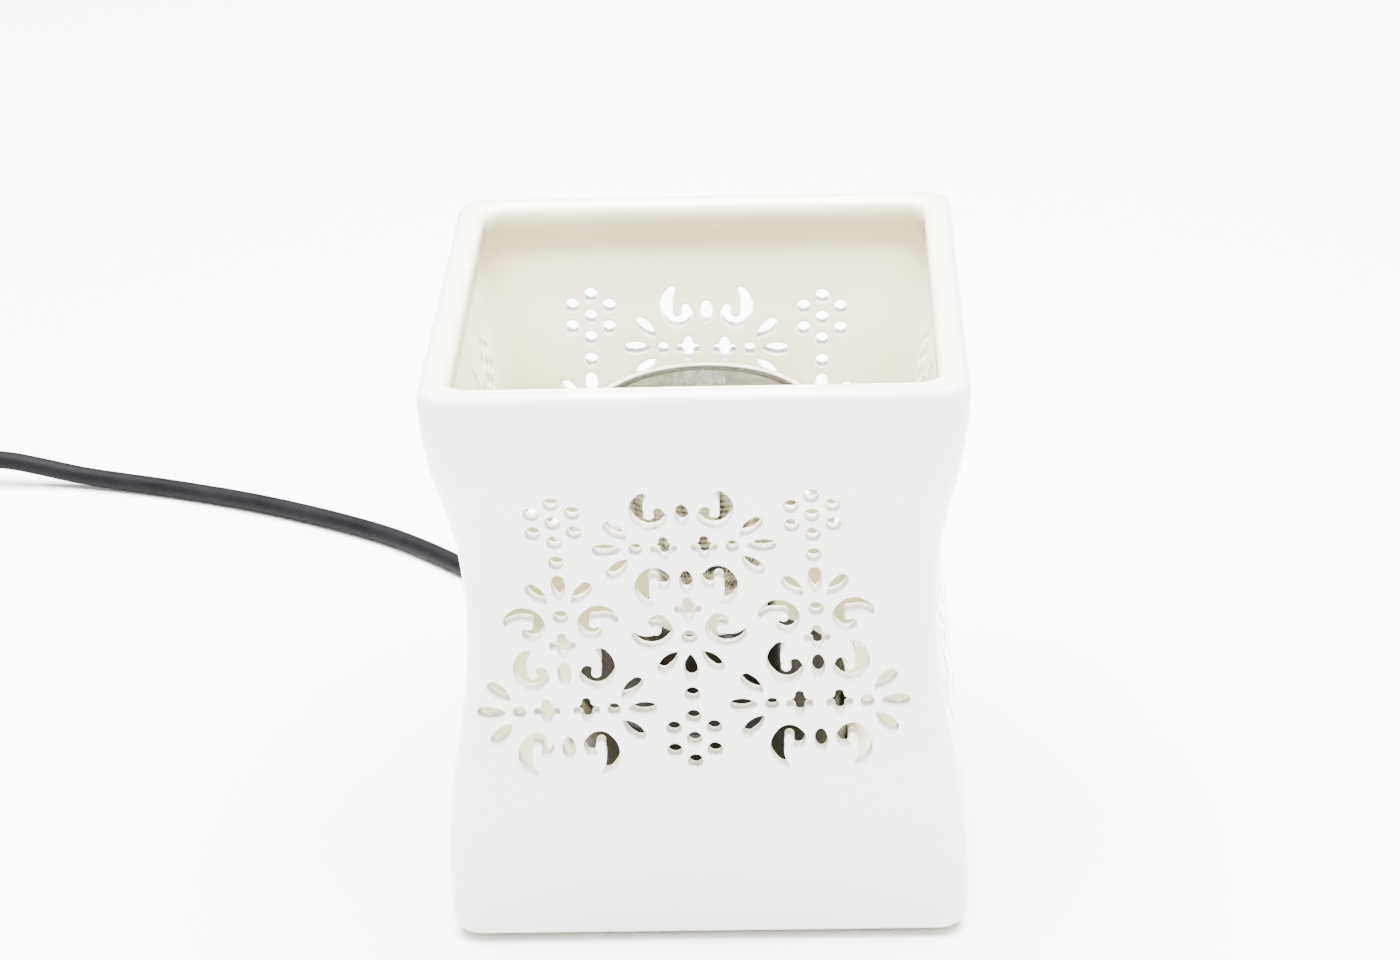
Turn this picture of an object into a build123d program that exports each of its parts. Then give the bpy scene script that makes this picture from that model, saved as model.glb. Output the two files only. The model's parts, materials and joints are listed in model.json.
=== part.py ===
from build123d import *
import math
import os

# An essential oil burner: a square waisted lantern of white ceramic, pierced on its four walls, that
# stands over a mains reflector lamp in a round black holder, with its cord, switch and plug.
# Millimetres, +Z up, the front wall towards -Y, the origin on the table under the lantern's middle.

os.makedirs("parts", exist_ok=True)

# The lantern: half widths and heights above the table of its curved side.
rim_half = 55.0
rim_height = 127.0
waist_half = 48.6
waist_height = 75.0
belly_half = 54.7
belly_height = 13.0
foot_gap = 1.0
corner_radius = 6.5
foot_radius = 4.0
wall = 3.4
rim_width = 6.2
rim_depth = 6.7
rim_radius = 2.4
mouth_corner_radius = 5.0
rim_underside_chamfer = 1.6
floor_underside = 12.5
floor_thickness = 4.0
foot_width = 6.5
foot_inner_corner_radius = 5.0
floor_hole_radius = 31.0
overrun = 5.0

# The pierced pattern: a lying spindle of openings above a pair of them, and a branch from each.
pattern_height = {"front": 72.5, "right": 73.2, "back": 74.1, "left": 73.2}
pattern_shift = {"front": -2.4, "right": 0.0, "back": 0.7, "left": 0.0}
pattern_tilt = {"front": 1.2, "right": 0.0, "back": 1.3, "left": 0.0}
top_spindle_rise = 18.5
low_spindle_drop = 18.2
low_spindle_side = 26.1
star_side = 4.1
star_tip = 2.75
star_tip_half = 0.9
star_tip_flat = 2.2
star_waist = 1.2
inner_dot_side = 9.8
inner_dot_diameter = 2.8
leaf_length = 6.0
leaf_width = 3.1
end_leaf_side = 15.6
slanted_leaf_side = 13.65
slanted_leaf_rise = 4.55
slanted_leaf_angle = 44.0
seed_rise = 8.2
seed_length = 5.2
seed_width = 2.8
scroll_width = 7.5
scroll_height = 9.2
scroll_side = 3.05
scroll_rise = 4.6
branch_star_rise = 14.65
branch_dot_rise = 6.5
tendril_side = 3.3
tendril_rise = 1.1
tendril_width = 7.8
tendril_length = 8.5
crown_leaf_rise = 13.3
crown_side_leaf_rise = 11.9
crown_side_leaf_side = 4.5
crown_side_leaf_angle = 48.0
chain_dot_rise = 19.3
flower_rise = 29.1
flower_radius = 4.8
flower_petals = 6
dot_diameter = 3.2

# A scroll, as shares of its width and height: a broad limb that sweeps round into a round lobe.
scroll_limb_end_share = (0.47, 0.96)
scroll_limb_crest_share = (0.61, 1.0)
scroll_limb_shoulder_share = (0.78, 0.93)
scroll_limb_flank_share = (1.0, 0.52)
scroll_heel_share = (0.80, 0.14)
scroll_base_share = (0.45, 0.0)
scroll_toe_share = (0.12, 0.14)
scroll_lobe_flank_share = (0.0, 0.34)
scroll_lobe_shoulder_share = (0.07, 0.48)
scroll_lobe_crest_share = (0.22, 0.58)
scroll_lobe_end_share = (0.38, 0.48)
scroll_notch_share = (0.47, 0.28)
scroll_limb_start_share = (0.59, 0.45)
scroll_limb_middle_share = (0.61, 0.71)

# A leaf, as shares of its length and width: a point at one end and a round at the other.
leaf_flank_share = (-0.10, 0.43)
leaf_shoulder_share = (0.28, 0.41)
leaf_end_share = (0.5, 0.0)

bend_share = 0.45

# The notch for the cord in the back of the foot, and the cord itself.
exit_side = -26.0
notch_width = 10.0
notch_axis_height = 7.4
cord_radius = 2.4
core_radius = 1.0
core_offset = 1.05

# The black tray that closes the foot, its rubber feet, gaskets, screw posts and cord grip.
foot_clearance = 0.6
tray_bottom = 1.8
tray_top = 11.7
tray_floor = 3.6
tray_wall = 2.0
tray_corner = 4.4
tray_edge_chamfer = 0.6
gasket_inset = 0.2
gasket_thickness = 0.8
gasket_corner = 2.4
rubber_foot_side = 38.0
rubber_foot_radius = 6.0
rubber_foot_recess = 0.8
rubber_foot_fit = 0.1
rubber_foot_edge = 0.7
post_side_x = 21.48
post_side_y = 12.4
post_radius = 4.6
post_top = 11.9
screw_head_radius = 2.9
screw_head_clearance = 0.1
screw_seat = 5.0
screw_head_height = 2.2
screw_shank_radius = 1.5
screw_hole_radius = 1.7
screw_tip = 20.5
pilot_clearance = 0.03
pilot_overrun = 0.6
socket_width = 0.8
socket_depth = 0.9

grip_y = 38.0
grip_length = 18.0
grip_width = 7.0
grip_block_top = 7.6
grip_bar_bottom = 7.9
grip_bar_top = 11.2
grip_screw_side = 6.5
grip_head_radius = 2.1
grip_head_seat = 10.2
grip_head_top = 11.6
grip_shank_radius = 1.2
grip_shank_tip = 4.2
cord_axis_height = 7.6

bush_inner = 42.8
bush_flange_radius = 3.9
bush_neck_radius = 3.1
bush_slot_fit = 0.1
bush_shoulder_radius = 4.4
bush_shoulder_gap = 0.2
bush_shoulder_end = 53.0
bush_bore_end = 54.0
bush_tip_radius = 3.0
bush_tip = 64.0

# The lamp housing: a round black drum that stands through the floor, with a deck on top.
housing_radius = 29.8
housing_wall = 2.2
housing_bottom = 12.1
housing_flange_radius = 37.0
housing_flange_thickness = 2.0
deck_underside = 33.4
deck_top = 35.6
deck_hole_radius = 15.2
deck_edge_radius = 1.2
housing_boss_radius = 3.4
housing_boss_top = 24.0
tab_low = 24.0
tab_high = 31.0
tab_width = 9.0
tab_reach = 2.6
tab_root = 28.5
tab_edge_radius = 0.8
bracket_boss_side = 21.5
bracket_boss_radius = 3.2

# The lampholder of two black mouldings on a steel bracket, with brass contacts.
holder_radius = 15.0
holder_top = 51.2
holder_top_edge = 0.8
holder_flange_radius = 17.8
holder_flange_bottom = 31.0
cavity_radius = 11.5
slot_plate_bottom = 43.6
slot_plate_top = 47.0
lamp_recess_radius = 13.4
pin_circle_radius = 5.0
pin_entry_radius = 2.75
pin_slot_half = 1.75
lamp_turn = 20.0
cap_bottom = 27.4
cap_stub_radius = 11.3
cap_stub_top = 38.9
contact_near = 2.6
contact_far = 8.9
contact_thickness = 0.6
contact_half_width = 2.4
contact_leg_bottom = 28.5
contact_slot_fit = 0.1
lead_side = 7.25
lead_bore_fit = 0.05
lead_top = 30.5
holder_screw_side = 13.25
holder_screw_head_radius = 2.0
holder_screw_head_height = 1.4
holder_screw_radius = 1.0
holder_screw_hole = 1.15
holder_screw_tip = 38.0
bracket_thickness = 1.0
bracket_disc_radius = 11.0
bracket_lead_hole = 2.0
bracket_reach = 25.0
bracket_width = 9.0
bracket_corner = 2.0
bracket_hole_radius = 1.6
bracket_head_radius = 2.6
bracket_head_height = 1.6
bracket_shank_radius = 1.45
bracket_shank_tip = 32.2

# The terminal block on the tray, and the leads that meet in it.
terminal_y = -4.0
terminal_length = 18.0
terminal_depth = 14.0
terminal_top = 14.6
terminal_side = 4.5
terminal_axis_height = 8.6
terminal_tube_radius = 2.2
terminal_tube_bore = 1.3
terminal_tube_length = 13.0
terminal_screw_gap = 3.5
terminal_screw_radius = 1.1
terminal_screw_fit = 0.05
terminal_well_radius = 1.7
terminal_head_radius = 1.6
terminal_head_bottom = 11.2
terminal_head_top = 13.0
terminal_groove_width = 2.0
terminal_groove_depth = 3.0
block_screw_radius = 1.2
block_screw_tip = 2.3
block_head_radius = 2.2
block_head_bottom = 11.4
block_head_top = 13.2
lead_route = (
    (7.25, 0.0, 30.5),
    (7.25, 0.0, 20.8),
    (5.1, -14.5, 18.6),
    (4.7, -21.0, 16.4),
    (4.6, -24.2, 12.4),
    (4.5, -21.4, 8.6),
    (4.5, -5.0, 8.6),
)
sheath_route = (
    (-26.0, 54.0, 7.6),
    (-26.0, 31.0, 7.6),
    (-23.0, 24.9, 7.6),
    (-18.0, 21.2, 7.6),
)
core_straight = 5.5
live_core_turns = ((-7.6, 10.9), (-4.5, 4.6))
neutral_core_turns = ((-1.9, 13.4), (4.5, 6.6))
core_end_y = -3.0

# The reflector lamp with its two bayonet pins.
lamp_seat = 47.1
lamp_base_radius = 12.9
lamp_base_top = 60.0
lamp_base_floor = 51.0
lamp_base_edge = 0.8
lamp_neck_radius = 10.2
lamp_neck_top = 61.0
lamp_flare_shoulder = (18.6, 74.0)
lamp_flare_end = (24.4, 92.7)
lamp_rim_radius = 25.0
lamp_rim_bottom = 93.7
lamp_rim_top = 99.1
lamp_neck_inner = 8.8
lamp_inner_shoulder = (16.6, 74.8)
lamp_ledge_radius = 21.6
lamp_ledge_height = 97.3
lamp_inner_flare_top = 92.7
lamp_glass_radius = 22.8
lamp_glass_thickness = 1.4
pinch_width = 9.0
pinch_depth = 3.0
capsule_bottom = 62.0
capsule_top = 84.0
capsule_radius = 4.8
capsule_wall = 1.0
capsule_floor = 1.5
capsule_end_radius = 3.0
filament_height = 73.0
filament_radius = 0.9
filament_length = 5.6
filament_leg_side = 2.2
filament_leg_radius = 0.3
pin_neck_radius = 1.5
pin_head_radius = 2.5
pin_head_bottom = 39.7
pin_head_top = 43.4
pin_edge = 0.4
pin_root = 50.0

# The supply cord over the table, from the bush to the switch.
supply_route = (
    (-26.0, 64.0, 7.6),
    (-26.0, 72.0, 7.6),
    (-28.4, 80.6, 6.9),
    (-34.0, 89.5, 5.2),
    (-44.0, 97.9, 3.4),
    (-58.8, 109.0, 2.4),
    (-81.6, 131.3, 2.4),
    (-100.5, 143.6, 2.4),
    (-125.4, 156.6, 2.4),
    (-153.7, 167.4, 2.4),
    (-172.5, 172.2, 3.0),
    (-184.6, 174.1, 5.2),
    (-196.03, 175.22, 7.5),
    (-205.0, 176.0, 7.5),
)

# The switch in the cord: its own X runs along the cord, its own Y across.
switch_heading = 175.0
switch_length = 58.0
switch_width = 24.0
switch_height = 17.0
switch_split = 7.5
switch_corner = 7.0
switch_wall = 1.8
switch_end_wall = 3.0
switch_edge_radius = 2.0
switch_window_length = 22.0
switch_window_width = 12.0
switch_core_radius = 0.9
switch_core_side = 1.25
switch_core_bypass = 7.4
switch_core_shares = (0.09, 0.23, 0.77, 0.91)
switch_tab_share = 0.21
switch_tab_thickness = 0.8
switch_tab_near = 0.2
switch_tab_far = 4.0
switch_tab_height = 9.0
switch_foot_height = 0.8
switch_foot_length = 12.0
switch_riser_length = 4.0
switch_riser_top = 4.6
blade_thickness = 0.5
button_radius = 1.4
button_height = 1.4
button_inset = 2.6
blade_button_height = 0.6
switch_screw_x = 8.0
switch_screw_y = 7.0
switch_post_radius = 2.7
switch_screw_head_radius = 2.1
switch_screw_seat = 2.4
switch_screw_head_height = 1.6
switch_screw_radius = 1.0
switch_screw_hole = 1.2
switch_screw_tip = 13.0
cheek_gap = 0.2
cheek_thickness = 1.9
cheek_half_length = 3.5
cheek_bottom = 10.2
rocker_pivot_height = 13.0
rocker_width = 11.6
rocker_radius = 10.8
rocker_middle_rise = 3.0
rocker_end_side = 9.9
rocker_end_rise = 4.2
rocker_drop = 1.5
rocker_leg_half = 1.0
rocker_leg_drop = 6.5
rocker_pin_radius = 1.2
rocker_pin_length = 1.6
rocker_pin_fit = 0.1
rocker_half_throw = 7.0

# The cord from the switch to its coil, the coil, and its end at the plug.
link_route = (
    (-262.78, 181.06, 7.5),
    (-271.75, 181.84, 7.5),
    (-282.5, 179.6, 6.0),
    (-291.8, 173.8, 4.6),
    (-298.6, 165.1, 3.6),
    (-302.2, 154.7, 3.3),
    (-302.7, 141.7, 3.3),
    (-302.7, 129.2, 3.3),
)
coil_radius = 35.0
coil_pitch = 5.4
coil_bottom_height = 3.3
coil_fall_turns = 2.75
coil_climb_turns = 0.5
coil_steps_per_turn = 4
tail_route = (
    (-302.7, 119.6, 8.7),
    (-302.7, 109.6, 8.7),
    (-303.6, 98.5, 6.4),
    (-302.6, 87.2, 3.8),
    (-299.6, 76.4, 2.9),
    (-294.9, 66.6, 4.8),
    (-289.5, 58.0, 6.85),
    (-285.0, 50.21, 6.85),
)
tie_angles = (-45.0, 45.0)
tie_thickness = 0.7
tie_width = 3.5
tie_inner_side = 18.0
tie_outer_side = 35.8
tie_low = 0.75
tie_high = 11.3
tie_corner = 2.2

# The flat two-pin plug.
plug_heading = 300.0
plug_thickness = 13.7
relief_length = 28.0
relief_cord_radius = 3.0
relief_plug_radius = 5.2
plug_length = 36.0
plug_back_half = 7.5
plug_waist_half = 17.0
plug_face_half = 13.2
plug_waist_shares = (0.38, 0.62)
plug_edge_radius = 3.0
pin_slant_share = 0.9
pin_gap = 18.6
plug_pin_radius = 2.0
plug_pin_core_radius = 1.5
plug_pin_length = 19.0
plug_pin_root = 9.0
plug_pin_tip_radius = 1.2
plug_sleeve_radius = 1.9
plug_sleeve_length = 10.0


def write(piece, name):
    """Labels a finished piece and writes it as a file of its own."""
    piece.part.label = name
    export_step(piece.part, f"parts/{name}.step")


def side_profile(inset):
    """The lantern's section across two opposite walls, each moved in by inset, as a sketch upright on XZ."""
    foot = (belly_half - inset, foot_gap)
    belly = (belly_half - inset, belly_height)
    waist = (waist_half - inset, waist_height)
    rim = (rim_half - inset, rim_height)
    with BuildSketch(Plane.XZ) as section:
        with BuildLine():
            Polyline((0, foot_gap), foot, belly)
            for low, high in ((belly, waist), (waist, rim)):
                middle = ((low[0] + high[0]) / 2, (low[1] + high[1]) / 2)
                TangentArc(low, middle, tangent=(0, 1))
                TangentArc(high, middle, tangent=(0, -1))
            Polyline(rim, (0, rim_height), (0, foot_gap))
        make_face()
        mirror(about=Plane.YZ)
    return section.sketch


def waisted_block(inset, corner):
    """A square block with the lantern's curved sides, each moved in by inset, and rounded upright edges."""
    section = side_profile(inset)
    with BuildPart() as block:
        extrude(section, amount=rim_half + overrun, both=True)
        across = section.rotate(Axis.Z, 90)
        extrude(across, amount=rim_half + overrun, both=True, mode=Mode.INTERSECT)
        edges = block.edges().filter_by(lambda e: e.bounding_box().size.Z > overrun and not on_flat_face(e))
        fillet(edges, radius=corner)
    return block.part


def on_flat_face(edge):
    """Whether an edge lies in a level plane."""
    return edge.bounding_box().size.Z < foot_gap


def scroll(corner, width, height, turned):
    """Adds one scroll to the open sketch, its box's near corner at corner. turned swaps its sides."""

    def place(share):
        across, along = share[0] * width, share[1] * height
        if turned:
            across, along = along, across
        return corner[0] + across, corner[1] + along

    arcs = (
        (scroll_limb_end_share, scroll_limb_crest_share, scroll_limb_shoulder_share),
        (scroll_limb_shoulder_share, scroll_limb_flank_share, scroll_heel_share),
        (scroll_heel_share, scroll_base_share, scroll_toe_share),
        (scroll_toe_share, scroll_lobe_flank_share, scroll_lobe_shoulder_share),
        (scroll_lobe_shoulder_share, scroll_lobe_crest_share, scroll_lobe_end_share),
        (scroll_lobe_end_share, scroll_notch_share, scroll_limb_start_share),
        (scroll_limb_start_share, scroll_limb_middle_share, scroll_limb_end_share),
    )
    with BuildSketch() as outline:
        with BuildLine():
            for start, through, end in arcs:
                ThreePointArc(place(start), place(through), place(end))
        make_face()
    add(outline.sketch)


def leaf_sketch():
    """A leaf that lies along X about its middle, its point towards -X."""

    def place(share, side=1):
        return share[0] * leaf_length, side * share[1] * leaf_width

    tip = (-leaf_length / 2, 0)
    with BuildSketch() as leaf:
        with BuildLine():
            ThreePointArc(tip, place(leaf_flank_share), place(leaf_shoulder_share))
            ThreePointArc(place(leaf_shoulder_share), place(leaf_end_share), place(leaf_shoulder_share, -1))
            ThreePointArc(place(leaf_shoulder_share, -1), place(leaf_flank_share, -1), tip)
        make_face()
    return leaf.sketch


def star_sketch():
    """A four-pointed star with blunt tips and hollow sides."""
    with BuildSketch() as star:
        with BuildLine():
            for quarter in range(4):
                turn = Rotation(0, 0, 90 * quarter)
                points = (
                    (star_tip_flat, -star_tip_half),
                    (star_tip, 0),
                    (star_tip_flat, star_tip_half),
                    (star_waist, star_waist),
                    (star_tip_half, star_tip_flat),
                )
                a, tip, b, waist, c = ((turn * Location((*point, 0))).position for point in points)
                ThreePointArc(a, tip, b)
                ThreePointArc(b, waist, c)
        make_face()
    return star.sketch


def posts(places, radius, low, high, mode=Mode.ADD, plane=Plane.XY):
    """Round posts at the given places of a plane, from one height over it to another."""
    with BuildSketch(plane.offset(low)) as profile:
        with Locations(*places):
            Circle(radius)
    extrude(profile.sketch, amount=high - low, mode=mode)


def block(place, length, width, low, high, mode=Mode.ADD, plane=Plane.XY, corner=0):
    """A block with upright sides, its middle at a place of a plane, rounded at its upright edges."""
    with BuildSketch(plane.offset(low)) as profile:
        with Locations(place):
            if corner:
                RectangleRounded(length, width, corner)
            else:
                Rectangle(length, width)
    extrude(profile.sketch, amount=high - low, mode=mode)


def rod(start, end, radius, mode=Mode.ADD):
    """A straight round rod from one point to another."""
    along = Vector(*end) - Vector(*start)
    with BuildSketch(Plane(origin=start, z_dir=along)) as profile:
        Circle(radius)
    extrude(profile.sketch, amount=along.length, mode=mode)


def turned(outline, mode=Mode.ADD, plane=Plane.XZ):
    """A turned piece: an outline of (radius, height) points about the plane's own upright axis."""
    with BuildSketch(plane) as profile:
        with BuildLine():
            Polyline(*outline, close=True)
        make_face()
    revolve(profile.sketch, axis=Axis(plane.origin, plane.y_dir), mode=mode)


def ring(inner, outer, low, high, mode=Mode.ADD):
    """A flat ring about the lamp's axis."""
    turned(((inner, low), (outer, low), (outer, high), (inner, high)), mode)


def bend_radii(route):
    """The bend radius at each inner point of a route, from its shorter run and its turn."""
    radii = []
    for before, point, after in zip(route, route[1:], route[2:]):
        came, goes = Vector(*point) - Vector(*before), Vector(*after) - Vector(*point)
        half_turn = math.radians(came.get_angle(goes)) / 2
        radii.append(bend_share * min(came.length, goes.length) / math.tan(half_turn))
    return radii


def cord(route, radius):
    """A cord's tube along a route of points, with tangent arcs at the bends."""
    with BuildLine() as path:
        FilletPolyline(*route, radius=bend_radii(route))
    wire = path.wire()
    with BuildSketch(Plane(origin=route[0], z_dir=wire % 0)) as section:
        Circle(radius)
    sweep(section.sketch, path=wire)
    return wire.length


def report_cord(name, piece, route, radius, length):
    """Prints a cord's bends, and its volume against its section times its length."""
    least = min(bend_radii(route))
    share = piece.part.volume / (math.pi * radius**2 * length)
    print(f"{name}: length {length:.1f}, least bend radius {least:.1f}, volume share {share:.4f}")
    print("  bend radii", [round(r, 1) for r in bend_radii(route)])


def across_x(route):
    """The same route on the other side of the lamp's axis."""
    return tuple((-x, y, z) for x, y, z in route)


leaf = leaf_sketch()
star = star_sketch()

with BuildSketch() as spindle:
    with Locations((star_side, 0)):
        add(star)
    with Locations((inner_dot_side, 0)):
        Circle(inner_dot_diameter / 2)
    with Locations((end_leaf_side, 0)):
        add(leaf)
    with Locations(Location((slanted_leaf_side, slanted_leaf_rise, 0), slanted_leaf_angle)):
        add(leaf)
    with Locations((0, seed_rise)):
        Ellipse(seed_width / 2, seed_length / 2)
    scroll((scroll_side, scroll_rise), scroll_width, scroll_height, turned=False)
    mirror(about=Plane.YZ)
    mirror(about=Plane.XZ)

with BuildSketch() as branch:
    add(star)
    with Locations((0, branch_dot_rise), (0, chain_dot_rise), (0, flower_rise)):
        Circle(dot_diameter / 2)
    with Locations((0, flower_rise)):
        with PolarLocations(flower_radius, flower_petals, start_angle=90):
            Circle(dot_diameter / 2)
    with Locations(Location((0, crown_leaf_rise, 0), 90)):
        add(leaf)
    with Locations(Location((crown_side_leaf_side, crown_side_leaf_rise, 0), crown_side_leaf_angle)):
        add(leaf)
    scroll((tendril_side, tendril_rise), tendril_width, tendril_length, turned=True)
    mirror(about=Plane.YZ)

with BuildSketch() as pattern:
    low_spindles = [(side * low_spindle_side, -low_spindle_drop) for side in (-1, 1)]
    with Locations((0, top_spindle_rise), *low_spindles):
        add(spindle.sketch)
    low_star_rise = branch_star_rise - low_spindle_drop
    with Locations((-low_spindle_side, low_star_rise), (low_spindle_side, low_star_rise)):
        add(branch.sketch)
    with Locations(Location((0, top_spindle_rise - branch_star_rise, 0), 180)):
        add(branch.sketch)

# The four outward directions, as the local X of each wall's drawing plane.
wall_across = {"front": (1, 0, 0), "right": (0, 1, 0), "back": (-1, 0, 0), "left": (0, -1, 0)}
wall_out = {"front": (0, -1, 0), "right": (1, 0, 0), "back": (0, 1, 0), "left": (-1, 0, 0)}

floor_top = floor_underside + floor_thickness
mouth_half = rim_half - rim_width
rim_underside = rim_height - rim_depth

with BuildPart() as hollow:
    add(waisted_block(wall, corner_radius - wall))
    split(bisect_by=Plane.XY.offset(floor_top), keep=Keep.TOP)
    split(bisect_by=Plane.XY.offset(rim_underside), keep=Keep.BOTTOM)
    chamfer(hollow.faces().sort_by(Axis.Z)[-1].edges(), length=rim_underside_chamfer)

with BuildPart() as ceramic_body:
    add(waisted_block(0, corner_radius))
    fillet(ceramic_body.faces().sort_by(Axis.Z)[0].edges(), radius=foot_radius)
    add(hollow.part, mode=Mode.SUBTRACT)
    with BuildSketch(Plane.XY.offset(rim_underside - rim_underside_chamfer)):
        RectangleRounded(2 * mouth_half, 2 * mouth_half, mouth_corner_radius)
    extrude(amount=rim_depth + rim_underside_chamfer, mode=Mode.SUBTRACT)
    fillet(ceramic_body.faces().sort_by(Axis.Z)[-1].edges(), radius=rim_radius)
    foot_inner_half = belly_half - foot_width
    with BuildSketch(Plane.XY.offset(foot_gap)):
        RectangleRounded(2 * foot_inner_half, 2 * foot_inner_half, foot_inner_corner_radius)
    extrude(amount=floor_underside - foot_gap, mode=Mode.SUBTRACT)
    with BuildSketch(Plane.XY.offset(floor_underside)):
        Circle(floor_hole_radius)
    extrude(amount=floor_thickness, mode=Mode.SUBTRACT)
    notch_plane = Plane(origin=(exit_side, 0, 0), x_dir=(-1, 0, 0), z_dir=(0, 1, 0))
    with BuildSketch(notch_plane.offset(foot_inner_half - wall)):
        with Locations((0, notch_axis_height)):
            Circle(notch_width / 2)
        with Locations((0, notch_axis_height / 2)):
            Rectangle(notch_width, notch_axis_height)
    extrude(amount=foot_width + 2 * wall, mode=Mode.SUBTRACT)
    for name in wall_out:
        plane = Plane(origin=(0, 0, 0), x_dir=wall_across[name], z_dir=wall_out[name])
        with BuildSketch(plane.offset(waist_half - 2 * wall)) as cut:
            with Locations(Location((pattern_shift[name], pattern_height[name], 0), pattern_tilt[name])):
                add(pattern.sketch)
        extrude(amount=rim_half - waist_half + 3 * wall, mode=Mode.SUBTRACT)
write(ceramic_body, "ceramic_body")

# The tray: a shallow black box with screw posts, the grip's lower half and a slot for the bush.
tray_half = foot_inner_half - foot_clearance
feet = [(x * rubber_foot_side, y * rubber_foot_side) for x in (-1, 1) for y in (-1, 1)]
post_places = [(x * post_side_x, y * post_side_y) for x in (-1, 1) for y in (-1, 1)]
grip_screw_places = [(exit_side - grip_screw_side, grip_y), (exit_side + grip_screw_side, grip_y)]

with BuildPart() as base_tray:
    block((0, 0), 2 * tray_half, 2 * tray_half, tray_bottom, tray_top, corner=tray_corner)
    chamfer(base_tray.faces().sort_by(Axis.Z)[0].edges(), length=tray_edge_chamfer)
    tray_inner = 2 * (tray_half - tray_wall)
    block((0, 0), tray_inner, tray_inner, tray_floor, tray_top, Mode.SUBTRACT, corner=gasket_corner)
    posts(post_places, post_radius, tray_floor, post_top)
    block((exit_side, grip_y), grip_length, grip_width, tray_floor, grip_block_top)
    posts(post_places, screw_hole_radius, tray_bottom, post_top, Mode.SUBTRACT)
    posts(post_places, screw_head_radius + screw_head_clearance, tray_bottom, screw_seat, Mode.SUBTRACT)
    recess_top = tray_bottom + rubber_foot_recess
    posts(feet, rubber_foot_radius + rubber_foot_fit, tray_bottom, recess_top, Mode.SUBTRACT)
    grip_near = (exit_side, grip_y - grip_width, cord_axis_height)
    rod(grip_near, (exit_side, grip_y + grip_width / 2, cord_axis_height), cord_radius, Mode.SUBTRACT)
    grip_pilot = grip_shank_radius + pilot_clearance
    posts(grip_screw_places, grip_pilot, grip_shank_tip - pilot_overrun, grip_block_top, Mode.SUBTRACT)
    slot_half = bush_neck_radius + bush_slot_fit
    slot_near = (exit_side, tray_half - 2 * tray_wall, cord_axis_height)
    rod(slot_near, (exit_side, tray_half + tray_wall, cord_axis_height), slot_half, Mode.SUBTRACT)
    slot_place = (exit_side, tray_half - tray_wall / 2)
    block(slot_place, 2 * slot_half, 2 * tray_wall, cord_axis_height, tray_top, Mode.SUBTRACT)
    block_pilot = block_screw_radius + pilot_clearance
    posts([(0, terminal_y)], block_pilot, block_screw_tip - bush_slot_fit, tray_floor, Mode.SUBTRACT)
write(base_tray, "base_tray")

with BuildPart() as rubber_feet:
    posts(feet, rubber_foot_radius, 0, tray_bottom + rubber_foot_recess)
    chamfer(rubber_feet.faces().group_by(Axis.Z)[0].edges(), length=rubber_foot_edge)
write(rubber_feet, "rubber_feet")

with BuildPart() as floor_gasket_lower:
    gasket_outer = 2 * (tray_half - gasket_inset)
    block((0, 0), gasket_outer, gasket_outer, tray_top, floor_underside, corner=tray_corner)
    block((0, 0), tray_inner, tray_inner, tray_top, floor_underside, Mode.SUBTRACT, corner=gasket_corner)
write(floor_gasket_lower, "floor_gasket_lower")

# The lamp housing and its own gasket, clamped to the tray through the lantern's floor.
flange_bottom = floor_top + gasket_thickness
with BuildPart() as floor_gasket_upper:
    ring(floor_hole_radius, housing_flange_radius, floor_top, flange_bottom)
write(floor_gasket_upper, "floor_gasket_upper")

bracket_places = [(-bracket_boss_side, 0), (bracket_boss_side, 0)]
with BuildPart() as lamp_housing:
    ring(deck_hole_radius, housing_radius, housing_bottom, deck_top)
    fillet(lamp_housing.edges().group_by(Axis.Z)[-1].sort_by(SortBy.RADIUS)[-1], radius=deck_edge_radius)
    ring(0, housing_radius - housing_wall, housing_bottom, deck_underside, Mode.SUBTRACT)
    housing_middle = housing_radius - housing_wall / 2
    ring(housing_middle, housing_flange_radius, flange_bottom, flange_bottom + housing_flange_thickness)
    posts(post_places, housing_boss_radius, housing_bottom, housing_boss_top)
    posts(bracket_places, bracket_boss_radius, cap_bottom, deck_underside)
    screw_pilot = screw_shank_radius + pilot_clearance
    posts(post_places, screw_pilot, housing_bottom, screw_tip + pilot_overrun, Mode.SUBTRACT)
    bracket_pilot = bracket_shank_radius + pilot_clearance
    posts(bracket_places, bracket_pilot, cap_bottom, bracket_shank_tip + pilot_overrun, Mode.SUBTRACT)
    with BuildPart(mode=Mode.PRIVATE) as tabs:
        tab_end = housing_radius + tab_reach
        block(((tab_root + tab_end) / 2, 0), tab_end - tab_root, tab_width, tab_low, tab_high)
        fillet(tabs.faces().sort_by(Axis.X)[-1].edges(), radius=tab_edge_radius)
        mirror(about=Plane.YZ)
    add(tabs.part)
write(lamp_housing, "lamp_housing")

with BuildPart() as housing_screws:
    posts(post_places, screw_head_radius, screw_seat - screw_head_height, screw_seat)
    posts(post_places, screw_shank_radius, screw_seat, screw_tip)
    head_face = screw_seat - screw_head_height
    for place in post_places:
        block(place, 2 * screw_shank_radius, socket_width, head_face, head_face + socket_depth, Mode.SUBTRACT)
        block(place, socket_width, 2 * screw_shank_radius, head_face, head_face + socket_depth, Mode.SUBTRACT)
write(housing_screws, "housing_screws")

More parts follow.
